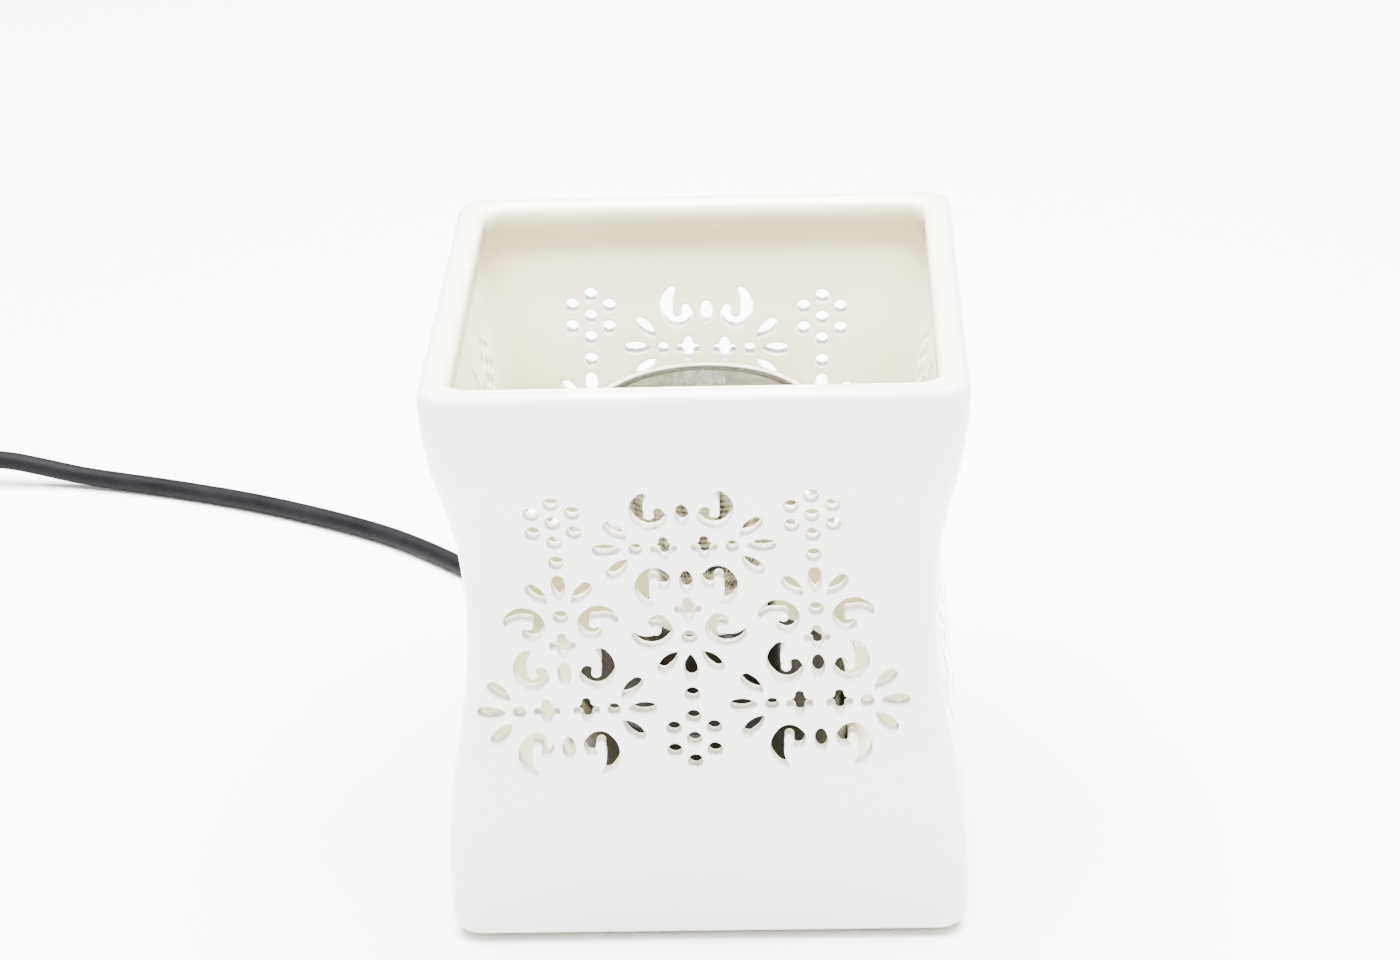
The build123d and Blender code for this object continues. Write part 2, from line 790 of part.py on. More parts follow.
# The lampholder's body: a cup whose slotted plate takes the lamp's pins and locks them as they turn.
with BuildPart() as holder_body:
    ring(0, holder_radius, holder_flange_bottom, holder_top)
    chamfer(holder_body.edges().group_by(Axis.Z)[-1], length=holder_top_edge)
    ring(0, holder_flange_radius, holder_flange_bottom, deck_underside)
    ring(0, cavity_radius, holder_flange_bottom, slot_plate_bottom, Mode.SUBTRACT)
    ring(0, lamp_recess_radius, slot_plate_top, holder_top, Mode.SUBTRACT)
    turn = math.radians(lamp_turn)
    entry = (pin_circle_radius * math.cos(turn), pin_circle_radius * math.sin(turn))
    entries = [entry, (-entry[0], -entry[1])]
    posts(entries, pin_entry_radius, slot_plate_bottom, slot_plate_top, Mode.SUBTRACT)
    with BuildSketch(Plane.XY.offset(slot_plate_bottom)) as pin_slots:
        with BuildLine() as pin_track:
            CenterArc((0, 0), pin_circle_radius, 0, lamp_turn)
        SlotArc(pin_track.edge(), 2 * pin_slot_half)
        add(pin_slots.sketch.rotate(Axis.Z, 180))
    extrude(pin_slots.sketch, amount=slot_plate_top - slot_plate_bottom, mode=Mode.SUBTRACT)
    holder_screw_places = [(0, -holder_screw_side), (0, holder_screw_side)]
    holder_pilot = holder_screw_radius + pilot_clearance
    pilot_end = holder_screw_tip + pilot_overrun
    posts(holder_screw_places, holder_pilot, holder_flange_bottom, pilot_end, Mode.SUBTRACT)
write(holder_body, "holder_body")

contact_leg = contact_far - contact_thickness
with BuildPart() as holder_cap:
    ring(0, holder_flange_radius, cap_bottom, holder_flange_bottom)
    ring(0, cap_stub_radius, holder_flange_bottom, cap_stub_top)
    posts(holder_screw_places, holder_screw_hole, cap_bottom, holder_flange_bottom, Mode.SUBTRACT)
    for side in (-1, 1):
        slot_middle = (side * (contact_leg + contact_far) / 2, 0)
        slot_length = contact_thickness + contact_slot_fit
        slot_width = 2 * (contact_half_width + contact_slot_fit)
        block(slot_middle, slot_length, slot_width, contact_leg_bottom, cap_stub_top, Mode.SUBTRACT)
        lead_bore = core_radius + lead_bore_fit
        posts([(side * lead_side, 0)], lead_bore, cap_bottom, lead_top, Mode.SUBTRACT)
write(holder_cap, "holder_cap")

with BuildPart() as holder_screws:
    posts(holder_screw_places, holder_screw_head_radius, cap_bottom - holder_screw_head_height, cap_bottom)
    posts(holder_screw_places, holder_screw_radius, cap_bottom, holder_screw_tip)
    slot_floor = cap_bottom - holder_screw_head_height
    for place in holder_screw_places:
        slot_top = slot_floor + socket_width
        block(place, 2 * holder_screw_head_radius, socket_width, slot_floor, slot_top, Mode.SUBTRACT)
write(holder_screws, "holder_screws")

plate_length = contact_far - contact_near
with BuildPart() as holder_contacts:
    for side in (-1, 1):
        plate_middle = (side * (contact_near + contact_far) / 2, 0)
        plate_top = cap_stub_top + contact_thickness
        block(plate_middle, plate_length, 2 * contact_half_width, cap_stub_top, plate_top)
        leg_middle = (side * (contact_leg + contact_far) / 2, 0)
        block(leg_middle, contact_thickness, 2 * contact_half_width, contact_leg_bottom, plate_top)
write(holder_contacts, "holder_contacts")

bracket_bottom = cap_bottom - bracket_thickness
with BuildPart() as holder_bracket:
    block((0, 0), 2 * bracket_reach, bracket_width, bracket_bottom, cap_bottom, corner=bracket_corner)
    posts([(0, 0)], bracket_disc_radius, bracket_bottom, cap_bottom)
    posts(bracket_places, bracket_hole_radius, bracket_bottom, cap_bottom, Mode.SUBTRACT)
    lead_places = [(-lead_side, 0), (lead_side, 0)]
    posts(lead_places, bracket_lead_hole, bracket_bottom, cap_bottom, Mode.SUBTRACT)
write(holder_bracket, "holder_bracket")

with BuildPart() as bracket_screws:
    head_face = bracket_bottom - bracket_head_height
    posts(bracket_places, bracket_head_radius, head_face, bracket_bottom)
    posts(bracket_places, bracket_shank_radius, bracket_bottom, bracket_shank_tip)
    for place in bracket_places:
        slot_top = head_face + socket_depth
        block(place, 2 * bracket_head_radius, socket_width, head_face, slot_top, Mode.SUBTRACT)
write(bracket_screws, "bracket_screws")

# The terminal block, its brass tubes and screws, on the tray's floor.
terminal_front = terminal_y - terminal_depth / 2
terminal_back = terminal_y + terminal_depth / 2
terminal_places = [
    (x * terminal_side, terminal_y + y * terminal_screw_gap) for x in (-1, 1) for y in (-1, 1)
]
with BuildPart() as terminal_block:
    block((0, terminal_y), terminal_length, terminal_depth, tray_floor, terminal_top)
    groove_bottom = terminal_top - terminal_groove_depth
    block((0, terminal_y), terminal_groove_width, terminal_depth, groove_bottom, terminal_top, Mode.SUBTRACT)
    for side in (-1, 1):
        near = (side * terminal_side, terminal_front, terminal_axis_height)
        rod(near, (near[0], terminal_back, near[2]), terminal_tube_radius, Mode.SUBTRACT)
    posts(terminal_places, terminal_well_radius, terminal_axis_height, terminal_top, Mode.SUBTRACT)
    middle = [(0, terminal_y)]
    posts(middle, block_screw_radius + screw_head_clearance, tray_floor, terminal_top, Mode.SUBTRACT)
    posts(middle, block_head_radius + screw_head_clearance, block_head_bottom, terminal_top, Mode.SUBTRACT)
write(terminal_block, "terminal_block")

with BuildPart() as terminal_tubes:
    tube_front = terminal_y - terminal_tube_length / 2
    tube_back = terminal_y + terminal_tube_length / 2
    for side in (-1, 1):
        near = (side * terminal_side, tube_front, terminal_axis_height)
        far = (side * terminal_side, tube_back, terminal_axis_height)
        rod(near, far, terminal_tube_radius)
        rod(near, far, terminal_tube_bore, Mode.SUBTRACT)
    hole = terminal_screw_radius + terminal_screw_fit
    posts(terminal_places, hole, terminal_axis_height, terminal_top, Mode.SUBTRACT)
write(terminal_tubes, "terminal_tubes")

with BuildPart() as terminal_screws:
    posts(terminal_places, terminal_screw_radius, terminal_axis_height + core_radius, terminal_head_bottom)
    posts(terminal_places, terminal_head_radius, terminal_head_bottom, terminal_head_top)
    groove = terminal_head_top - socket_width
    for place in terminal_places:
        block(place, 2 * terminal_head_radius, socket_width, groove, terminal_head_top, Mode.SUBTRACT)
write(terminal_screws, "terminal_screws")

with BuildPart() as block_screw:
    posts(middle, block_screw_radius, block_screw_tip, block_head_bottom)
    posts(middle, block_head_radius, block_head_bottom, block_head_top)
    groove = block_head_top - socket_width
    block(middle[0], 2 * block_head_radius, socket_width, groove, block_head_top, Mode.SUBTRACT)
write(block_screw, "block_screw")

# The two leads from the holder's contacts down to the terminal block.
with BuildPart() as holder_lead_live:
    length = cord(across_x(lead_route), core_radius)
report_cord("holder lead", holder_lead_live, lead_route, core_radius, length)
write(holder_lead_live, "holder_lead_live")

with BuildPart() as holder_lead_neutral:
    cord(lead_route, core_radius)
write(holder_lead_neutral, "holder_lead_neutral")

# The cord's end inside the tray, its two cores, the grip over it and the bush round it.
with BuildPart() as cord_inner:
    length = cord(sheath_route, cord_radius)
report_cord("cord in the tray", cord_inner, sheath_route, cord_radius, length)
write(cord_inner, "cord_inner")

sheath_end = Vector(*sheath_route[-1])
sheath_way = (sheath_end - Vector(*sheath_route[-2])).normalized()
sheath_side = sheath_way.cross(Vector(0, 0, 1))


def core_route(side, turns):
    """A core's route from the sheath's end, on its line at first, to the terminal tube."""
    start = sheath_end + sheath_side * core_offset * side
    first = start + sheath_way * core_straight
    others = [(*turn, terminal_axis_height) for turn in turns]
    return (tuple(start), tuple(first), *others, (turns[-1][0], core_end_y, terminal_axis_height))


live_route = core_route(1, live_core_turns)
with BuildPart() as cord_core_live:
    length = cord(live_route, core_radius)
report_cord("live core", cord_core_live, live_route, core_radius, length)
write(cord_core_live, "cord_core_live")

neutral_route = core_route(-1, neutral_core_turns)
with BuildPart() as cord_core_neutral:
    length = cord(neutral_route, core_radius)
report_cord("neutral core", cord_core_neutral, neutral_route, core_radius, length)
write(cord_core_neutral, "cord_core_neutral")

with BuildPart() as cord_grip:
    block((exit_side, grip_y), grip_length, grip_width, grip_bar_bottom, grip_bar_top)
    rod(grip_near, (exit_side, grip_y + grip_width, cord_axis_height), cord_radius, Mode.SUBTRACT)
    grip_hole = grip_shank_radius + screw_head_clearance
    posts(grip_screw_places, grip_hole, grip_bar_bottom, grip_bar_top, Mode.SUBTRACT)
    grip_well = grip_head_radius + screw_head_clearance
    posts(grip_screw_places, grip_well, grip_head_seat, grip_bar_top, Mode.SUBTRACT)
write(cord_grip, "cord_grip")

with BuildPart() as grip_screws:
    posts(grip_screw_places, grip_shank_radius, grip_shank_tip, grip_head_seat)
    posts(grip_screw_places, grip_head_radius, grip_head_seat, grip_head_top)
    groove = grip_head_top - socket_width
    for place in grip_screw_places:
        block(place, 2 * grip_head_radius, socket_width, groove, grip_head_top, Mode.SUBTRACT)
write(grip_screws, "grip_screws")

tray_inner_face = tray_half - tray_wall
bush_shoulder = tray_half + bush_shoulder_gap
bush_outline = (
    (0, bush_inner),
    (bush_flange_radius, bush_inner),
    (bush_flange_radius, tray_inner_face),
    (bush_neck_radius, tray_inner_face),
    (bush_neck_radius, bush_shoulder),
    (bush_shoulder_radius, bush_shoulder),
    (bush_shoulder_radius, bush_shoulder_end),
    (bush_tip_radius, bush_tip),
    (0, bush_tip),
)
with BuildPart() as cord_bush:
    bush_plane = Plane(origin=(exit_side, 0, cord_axis_height), x_dir=(1, 0, 0), z_dir=(0, 0, 1))
    turned(bush_outline, plane=bush_plane)
    bush_bore_start = (exit_side, bush_inner, cord_axis_height)
    rod(bush_bore_start, (exit_side, bush_bore_end, cord_axis_height), cord_radius, Mode.SUBTRACT)
write(cord_bush, "cord_bush")

# The lamp: a ceramic base with two pins, a glass reflector, its front glass and the burner inside.
with BuildPart() as lamp_base:
    ring(0, lamp_base_radius, lamp_seat, lamp_base_top)
    chamfer(lamp_base.edges().group_by(Axis.Z)[-1], length=lamp_base_edge)
    ring(0, lamp_neck_radius, lamp_base_floor, lamp_base_top, Mode.SUBTRACT)
    pin_places = [(-pin_circle_radius, 0), (pin_circle_radius, 0)]
    posts(pin_places, pin_neck_radius, lamp_seat, pin_root, Mode.SUBTRACT)
write(lamp_base, "lamp_base")

with BuildPart() as lamp_pins:
    posts(pin_places, pin_head_radius, pin_head_bottom, pin_head_top)
    chamfer(lamp_pins.edges().group_by(Axis.Z)[0], length=pin_edge)
    posts(pin_places, pin_neck_radius, pin_head_top, pin_root)
write(lamp_pins, "lamp_pins")

with BuildPart() as lamp_reflector:
    with BuildSketch(Plane.XZ) as profile:
        with BuildLine():
            neck_end = (lamp_neck_radius, lamp_neck_top)
            rim_start = (lamp_rim_radius, lamp_rim_bottom)
            rim_inner_end = (lamp_ledge_radius, lamp_inner_flare_top)
            Line((lamp_neck_radius, lamp_base_floor), neck_end)
            ThreePointArc(neck_end, lamp_flare_shoulder, lamp_flare_end)
            Polyline(
                lamp_flare_end,
                rim_start,
                (lamp_rim_radius, lamp_rim_top),
                (lamp_glass_radius, lamp_rim_top),
                (lamp_glass_radius, lamp_ledge_height),
                (lamp_ledge_radius, lamp_ledge_height),
                rim_inner_end,
            )
            ThreePointArc(rim_inner_end, lamp_inner_shoulder, (lamp_neck_inner, lamp_neck_top))
            Polyline(
                (lamp_neck_inner, lamp_neck_top),
                (lamp_neck_inner, lamp_base_floor),
                (lamp_neck_radius, lamp_base_floor),
            )
        make_face()
    revolve(axis=Axis.Z)
write(lamp_reflector, "lamp_reflector")

with BuildPart() as lamp_glass:
    ring(0, lamp_glass_radius, lamp_ledge_height, lamp_ledge_height + lamp_glass_thickness)
write(lamp_glass, "lamp_glass")

leg_places = [(-filament_leg_side, 0), (filament_leg_side, 0)]
with BuildPart() as lamp_capsule:
    ring(0, capsule_radius, capsule_bottom, capsule_top)
    fillet(lamp_capsule.edges().group_by(Axis.Z)[-1], radius=capsule_end_radius)
    hollow_radius = capsule_radius - capsule_wall
    ring(0, hollow_radius, capsule_bottom + capsule_floor, capsule_top - 2 * capsule_wall, Mode.SUBTRACT)
    block((0, 0), pinch_width, pinch_depth, lamp_base_floor, capsule_bottom + capsule_floor)
    posts(leg_places, filament_leg_radius, lamp_base_floor, filament_height, Mode.SUBTRACT)
write(lamp_capsule, "lamp_capsule")

with BuildPart() as lamp_filament:
    filament_half = filament_length / 2
    rod((-filament_half, 0, filament_height), (filament_half, 0, filament_height), filament_radius)
    posts(leg_places, filament_leg_radius, lamp_base_floor, filament_height)
write(lamp_filament, "lamp_filament")

# The cord on the table.
with BuildPart() as supply_cord:
    supply_length = cord(supply_route, cord_radius)
report_cord("supply cord", supply_cord, supply_route, cord_radius, supply_length)
write(supply_cord, "supply_cord")

# The switch in the cord.
heading = math.radians(switch_heading)
switch_plane = Plane(
    origin=(supply_route[-1][0], supply_route[-1][1], 0),
    x_dir=(math.cos(heading), math.sin(heading), 0),
    z_dir=(0, 0, 1),
)
switch_middle = switch_length / 2
cavity_length = switch_length - 2 * switch_end_wall
cavity_width = switch_width - 2 * switch_wall
cavity_size = (cavity_length, cavity_width)
cavity_corner = switch_corner / 2
roof = switch_height - switch_wall
switch_screw_places = [(switch_screw_x, switch_screw_y), (switch_length - switch_screw_x, switch_screw_y)]
cord_level = supply_route[-1][2]


def in_switch(points):
    """Points of the switch's own frame, as points of the model's."""
    return tuple(tuple(switch_plane.from_local_coords(Vector(*point))) for point in points)


stub_end = switch_tab_share * switch_length
stub_start = switch_length - stub_end
live_stubs = (
    ((0, switch_core_side, cord_level), (stub_end, switch_core_side, cord_level)),
    ((stub_start, switch_core_side, cord_level), (switch_length, switch_core_side, cord_level)),
)
bypass = [share * switch_length for share in switch_core_shares]
through_route = (
    (0, -switch_core_side, cord_level),
    (bypass[0], -switch_core_side, cord_level),
    (bypass[1], -switch_core_bypass, cord_level),
    (bypass[2], -switch_core_bypass, cord_level),
    (bypass[3], -switch_core_side, cord_level),
    (switch_length, -switch_core_side, cord_level),
)


def core_bores():
    """Cuts the cores' bores through the switch's end walls."""
    for x in (0, switch_length - switch_end_wall):
        for y in (-switch_core_side, switch_core_side):
            ends = in_switch(((x, y, cord_level), (x + switch_end_wall, y, cord_level)))
            rod(*ends, switch_core_radius, Mode.SUBTRACT)


with BuildPart() as switch_base:
    shell = (switch_middle, 0)
    block(shell, switch_length, switch_width, 0, switch_split, plane=switch_plane, corner=switch_corner)
    fillet(switch_base.faces().sort_by(Axis.Z)[0].edges(), radius=switch_edge_radius)
    block(
        shell, *cavity_size, switch_wall, switch_split, Mode.SUBTRACT, switch_plane, cavity_corner
    )
    posts(switch_screw_places, switch_post_radius, switch_wall, switch_split, plane=switch_plane)
    posts(switch_screw_places, switch_screw_hole, 0, switch_split, Mode.SUBTRACT, switch_plane)
    well = switch_screw_head_radius + screw_head_clearance
    posts(switch_screw_places, well, 0, switch_screw_seat, Mode.SUBTRACT, switch_plane)
    core_bores()
write(switch_base, "switch_base")

with BuildPart() as switch_cover:
    block(
        shell,
        switch_length,
        switch_width,
        switch_split,
        switch_height,
        plane=switch_plane,
        corner=switch_corner,
    )
    fillet(switch_cover.faces().sort_by(Axis.Z)[-1].edges(), radius=switch_edge_radius)
    block(shell, *cavity_size, switch_split, roof, Mode.SUBTRACT, switch_plane, cavity_corner)
    posts(switch_screw_places, switch_post_radius, switch_split, roof, plane=switch_plane)
    window = (switch_window_length, switch_window_width)
    block(shell, *window, roof, switch_height, Mode.SUBTRACT, switch_plane)
    cheek_y = rocker_width / 2 + cheek_gap + cheek_thickness / 2
    for side in (-1, 1):
        cheek = (switch_middle, side * cheek_y)
        block(cheek, 2 * cheek_half_length, cheek_thickness, cheek_bottom, roof, plane=switch_plane)
    pivot_near = (switch_middle, -cheek_y - cheek_thickness / 2, rocker_pivot_height)
    pivot_far = (switch_middle, cheek_y + cheek_thickness / 2, rocker_pivot_height)
    rod(*in_switch((pivot_near, pivot_far)), rocker_pin_radius + rocker_pin_fit, Mode.SUBTRACT)
    switch_pilot = switch_screw_radius + pilot_clearance
    switch_pilot_end = switch_screw_tip + pilot_overrun
    posts(
        switch_screw_places, switch_pilot, switch_split, switch_pilot_end, Mode.SUBTRACT, switch_plane
    )
    core_bores()
write(switch_cover, "switch_cover")

with BuildPart() as switch_screws:
    switch_head_face = switch_screw_seat - switch_screw_head_height
    head_radius = switch_screw_head_radius
    posts(switch_screw_places, head_radius, switch_head_face, switch_screw_seat, plane=switch_plane)
    posts(switch_screw_places, switch_screw_radius, switch_screw_seat, switch_screw_tip, plane=switch_plane)
    groove_top = switch_head_face + socket_width
    for place in switch_screw_places:
        groove_length = 2 * switch_screw_head_radius
        block(place, groove_length, socket_width, switch_head_face, groove_top, Mode.SUBTRACT, switch_plane)
write(switch_screws, "switch_screws")

with BuildPart() as switch_cores:
    for ends in live_stubs:
        rod(*in_switch(ends), switch_core_radius)
    cord(in_switch(through_route), switch_core_radius)
write(switch_cores, "switch_cores")

tab_y = (switch_tab_far - switch_tab_near) / 2
tab_span = switch_tab_far + switch_tab_near
foot_top = switch_wall + switch_foot_height
button_x = stub_start - switch_foot_length + button_inset + button_radius
with BuildPart() as switch_contacts:
    for x, way in ((stub_end, 1), (stub_start, -1)):
        tab = (x + way * switch_tab_thickness / 2, tab_y)
        block(tab, switch_tab_thickness, tab_span, switch_wall, switch_tab_height, plane=switch_plane)
        foot = (x + way * switch_foot_length / 2, tab_y)
        block(foot, switch_foot_length, tab_span, switch_wall, foot_top, plane=switch_plane)
    riser = (stub_end + switch_foot_length - switch_riser_length / 2, tab_y)
    block(riser, switch_riser_length, tab_span, switch_wall, switch_riser_top, plane=switch_plane)
    posts([(button_x, tab_y)], button_radius, foot_top, foot_top + button_height / 2, plane=switch_plane)
write(switch_contacts, "switch_contacts")

blade_start = stub_end + switch_foot_length - switch_riser_length
blade_end = button_x + button_inset
with BuildPart() as switch_blade:
    blade = ((blade_start + blade_end) / 2, tab_y)
    blade_top = switch_riser_top + blade_thickness
    block(blade, blade_end - blade_start, tab_span, switch_riser_top, blade_top, plane=switch_plane)
    button_low = switch_riser_top - blade_button_height
    posts([(button_x, tab_y)], button_radius, button_low, switch_riser_top, plane=switch_plane)
write(switch_blade, "switch_blade")

# The rocker, drawn level about its pivot and then tipped to its off position.
pivot_origin = switch_plane.from_local_coords(Vector(switch_middle, 0, rocker_pivot_height))
rocker_plane = Plane(origin=pivot_origin, x_dir=switch_plane.x_dir, z_dir=-switch_plane.y_dir)
with BuildPart() as rocker_level:
    with BuildSketch(rocker_plane) as profile:
        with BuildLine():
            Polyline(
                (-rocker_radius, -rocker_drop),
                (rocker_radius, -rocker_drop),
                (rocker_radius, rocker_end_rise),
                (rocker_end_side, rocker_end_rise),
                (0, rocker_middle_rise),
                (-rocker_end_side, rocker_end_rise),
                (-rocker_radius, rocker_end_rise),
                close=True,
            )
        make_face()
        Circle(rocker_radius, mode=Mode.INTERSECT)
    extrude(amount=rocker_width / 2, both=True)
    with BuildSketch(rocker_plane):
        with Locations((0, -rocker_leg_drop / 2)):
            Rectangle(2 * rocker_leg_half, rocker_leg_drop)
        with Locations((0, -rocker_leg_drop)):
            Circle(rocker_leg_half)
    extrude(amount=rocker_width / 4, both=True)
    with BuildSketch(rocker_plane):
        Circle(rocker_pin_radius)
    extrude(amount=rocker_width / 2 + rocker_pin_length, both=True)

with BuildPart() as switch_rocker:
    add(rocker_level.part.rotate(Axis(pivot_origin, switch_plane.y_dir), rocker_half_throw))
write(switch_rocker, "switch_rocker")
print("switch pivot", pivot_origin, "axis", switch_plane.y_dir)

# The cord from the switch to its coil.
with BuildPart() as link_cord:
    link_length = cord(link_route, cord_radius)
report_cord("link cord", link_cord, link_route, cord_radius, link_length)
write(link_cord, "link_cord")

# The coil: six turns in two layers, inward below and outward above, with one climb between them.
coil_turns = 2 * coil_fall_turns + coil_climb_turns
coil_start = Vector(*link_route[-1])
coil_straight = Vector(0, -2 * cord_radius, 0)
coil_centre = coil_start + coil_straight + Vector(coil_radius, 0, 0)
coil_inner_radius = coil_radius - coil_fall_turns * coil_pitch


def coil_at(turn):
    """The coil's axis point and its direction after a number of turns."""
    climb = min(max((turn - coil_fall_turns) / coil_climb_turns, 0), 1)
    if turn <= coil_fall_turns:
        radius, slope = coil_radius - coil_pitch * turn, -coil_pitch
    elif climb < 1:
        radius = coil_inner_radius - coil_pitch * coil_climb_turns * climb * (1 - climb)
        slope = -coil_pitch * (1 - 2 * climb)
    else:
        radius, slope = coil_radius - coil_pitch * (coil_turns - turn), coil_pitch
    height = coil_bottom_height + coil_pitch * climb**2 * (3 - 2 * climb)
    rise = coil_pitch * 6 * climb * (1 - climb) / coil_climb_turns
    angle = math.pi * (1 + 2 * turn)
    c, s = math.cos(angle), math.sin(angle)
    point = Vector(coil_centre.X + radius * c, coil_centre.Y + radius * s, height)
    speed = 2 * math.pi * radius
    way = Vector(slope * c - speed * s, slope * s + speed * c, rise)
    if turn in (0, coil_turns):
        way = coil_straight
    return point, way.normalized()


def biarc(start, start_way, end, end_way):
    """Adds two arcs to the line that is open, which leave start and reach end along the given ways."""
    chord = end - start
    ways = start_way + end_way
    a = 2 * (1 - start_way.dot(end_way))
    b = 2 * chord.dot(ways)
    c = -chord.dot(chord)
    reach = (-b + math.sqrt(b * b - 4 * a * c)) / (2 * a)
    joint = (start + start_way * reach + end - end_way * reach) / 2
    TangentArc(start, joint, tangent=start_way)
    TangentArc(end, joint, tangent=-end_way)


with BuildPart() as cord_coil:
    with BuildLine() as coil_path:
        steps = int(coil_turns * coil_steps_per_turn)
        stations = [coil_at(step * coil_turns / steps) for step in range(steps + 1)]
        Line(coil_start, stations[0][0])
        for (start, start_way), (end, end_way) in zip(stations, stations[1:]):
            biarc(start, start_way, end, end_way)
        Line(stations[-1][0], stations[-1][0] + coil_straight)
    coil_wire = coil_path.wire()
    with BuildSketch(Plane(origin=coil_start, z_dir=coil_straight)) as section:
        Circle(cord_radius)
    sweep(section.sketch, path=coil_wire)
write(cord_coil, "cord_coil")
coil_length = coil_wire.length
coil_share = cord_coil.part.volume / (math.pi * cord_radius**2 * coil_length)
print(f"coil: length {coil_length:.1f}, volume share {coil_share:.4f}, end {coil_wire @ 1}")
samples = [coil_at(step * coil_turns / 720)[0] for step in range(721)]
gap = min(
    (p - q).length
    for i, p in enumerate(samples)
    for j, q in enumerate(samples)
    if j - i > 60
)
print(f"coil: least gap to itself {gap - 2 * cord_radius:.2f}")

with BuildPart() as cord_ties:
    for angle in tie_angles:
        radial = Vector(math.cos(math.radians(angle)), math.sin(math.radians(angle)), 0)
        upright = Vector(0, 0, 1)
        tie_plane = Plane(origin=(coil_centre.X, coil_centre.Y, 0), x_dir=radial, z_dir=radial.cross(upright))
        tie_middle = ((tie_inner_side + tie_outer_side) / 2, (tie_low + tie_high) / 2)
        tie_span, tie_rise = tie_outer_side - tie_inner_side, tie_high - tie_low
        with BuildSketch(tie_plane):
            with Locations(tie_middle):
                grown = (tie_span + 2 * tie_thickness, tie_rise + 2 * tie_thickness)
                RectangleRounded(*grown, tie_corner + tie_thickness)
                RectangleRounded(tie_span, tie_rise, tie_corner, mode=Mode.SUBTRACT)
        extrude(amount=tie_width / 2, both=True)
write(cord_ties, "cord_ties")

with BuildPart() as plug_tail:
    tail_length = cord(tail_route, cord_radius)
report_cord("plug tail", plug_tail, tail_route, cord_radius, tail_length)
write(plug_tail, "plug_tail")
total = supply_length + link_length + coil_length + tail_length
print(f"cord: whole length {total:.0f}")

# The plug: its own X runs on from the cord, its own Y across.
heading = math.radians(plug_heading)
plug_way = Vector(math.cos(heading), math.sin(heading), 0)
plug_origin = Vector(tail_route[-1][0], tail_route[-1][1], 0)
plug_level = tail_route[-1][2]
plug_plane = Plane(origin=plug_origin, x_dir=plug_way, z_dir=(0, 0, 1))


def in_plug(points):
    """Points of the plug's own frame, as points of the model's."""
    return tuple(tuple(plug_plane.from_local_coords(Vector(*point))) for point in points)


with BuildPart() as plug_relief:
    relief_axis = Plane(
        origin=plug_plane.from_local_coords(Vector(0, 0, plug_level)),
        x_dir=plug_way.cross(Vector(0, 0, 1)),
        z_dir=(0, 0, 1),
    )
    relief_outline = (
        (0, 0),
        (relief_cord_radius, 0),
        (relief_plug_radius, relief_length),
        (0, relief_length),
    )
    turned(relief_outline, plane=relief_axis)
write(plug_relief, "plug_relief")

plug_end = relief_length + plug_length
with BuildPart() as plug_body:
    with BuildSketch(plug_plane):
        with BuildLine():
            waist_start = relief_length + plug_waist_shares[0] * plug_length
            waist_end = relief_length + plug_waist_shares[1] * plug_length
            Polyline(
                (relief_length, -plug_back_half),
                (waist_start, -plug_waist_half),
                (waist_end, -plug_waist_half),
                (plug_end, -plug_face_half),
                (plug_end, plug_face_half),
                (waist_end, plug_waist_half),
                (waist_start, plug_waist_half),
                (relief_length, plug_back_half),
                close=True,
            )
        make_face()
    extrude(amount=plug_thickness)
    long_edges = plug_body.edges().filter_by(
        lambda e: e.bounding_box().size.Z < foot_gap and abs((e % 0).dot(plug_plane.y_dir)) < pin_slant_share
    )
    fillet(long_edges, radius=plug_edge_radius)
    for side in (-1, 1):
        y = side * pin_gap / 2
        ends = in_plug(((plug_end - plug_pin_root, y, plug_level), (plug_end, y, plug_level)))
        rod(*ends, plug_pin_core_radius, Mode.SUBTRACT)
write(plug_body, "plug_body")

sleeve_end = plug_end + plug_sleeve_length
pin_end = plug_end + plug_pin_length
with BuildPart() as plug_pins:
    for side in (-1, 1):
        y = side * pin_gap / 2
        core = in_plug(((plug_end - plug_pin_root, y, plug_level), (sleeve_end, y, plug_level)))
        rod(*core, plug_pin_core_radius)
        tip = in_plug(((sleeve_end, y, plug_level), (pin_end, y, plug_level)))
        rod(*tip, plug_pin_radius)
    tips = plug_pins.faces().filter_by(Plane(origin=(0, 0, 0), z_dir=plug_way))
    tips = tips.sort_by(Axis((0, 0, 0), plug_way))
    fillet(tips[-2:].edges(), radius=plug_pin_tip_radius)
write(plug_pins, "plug_pins")

with BuildPart() as plug_sleeves:
    for side in (-1, 1):
        y = side * pin_gap / 2
        ends = in_plug(((plug_end, y, plug_level), (sleeve_end, y, plug_level)))
        rod(*ends, plug_sleeve_radius)
        rod(*ends, plug_pin_core_radius, Mode.SUBTRACT)
write(plug_sleeves, "plug_sleeves")
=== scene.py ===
import json
import math

import bmesh
import bpy
from mathutils import Matrix, Vector

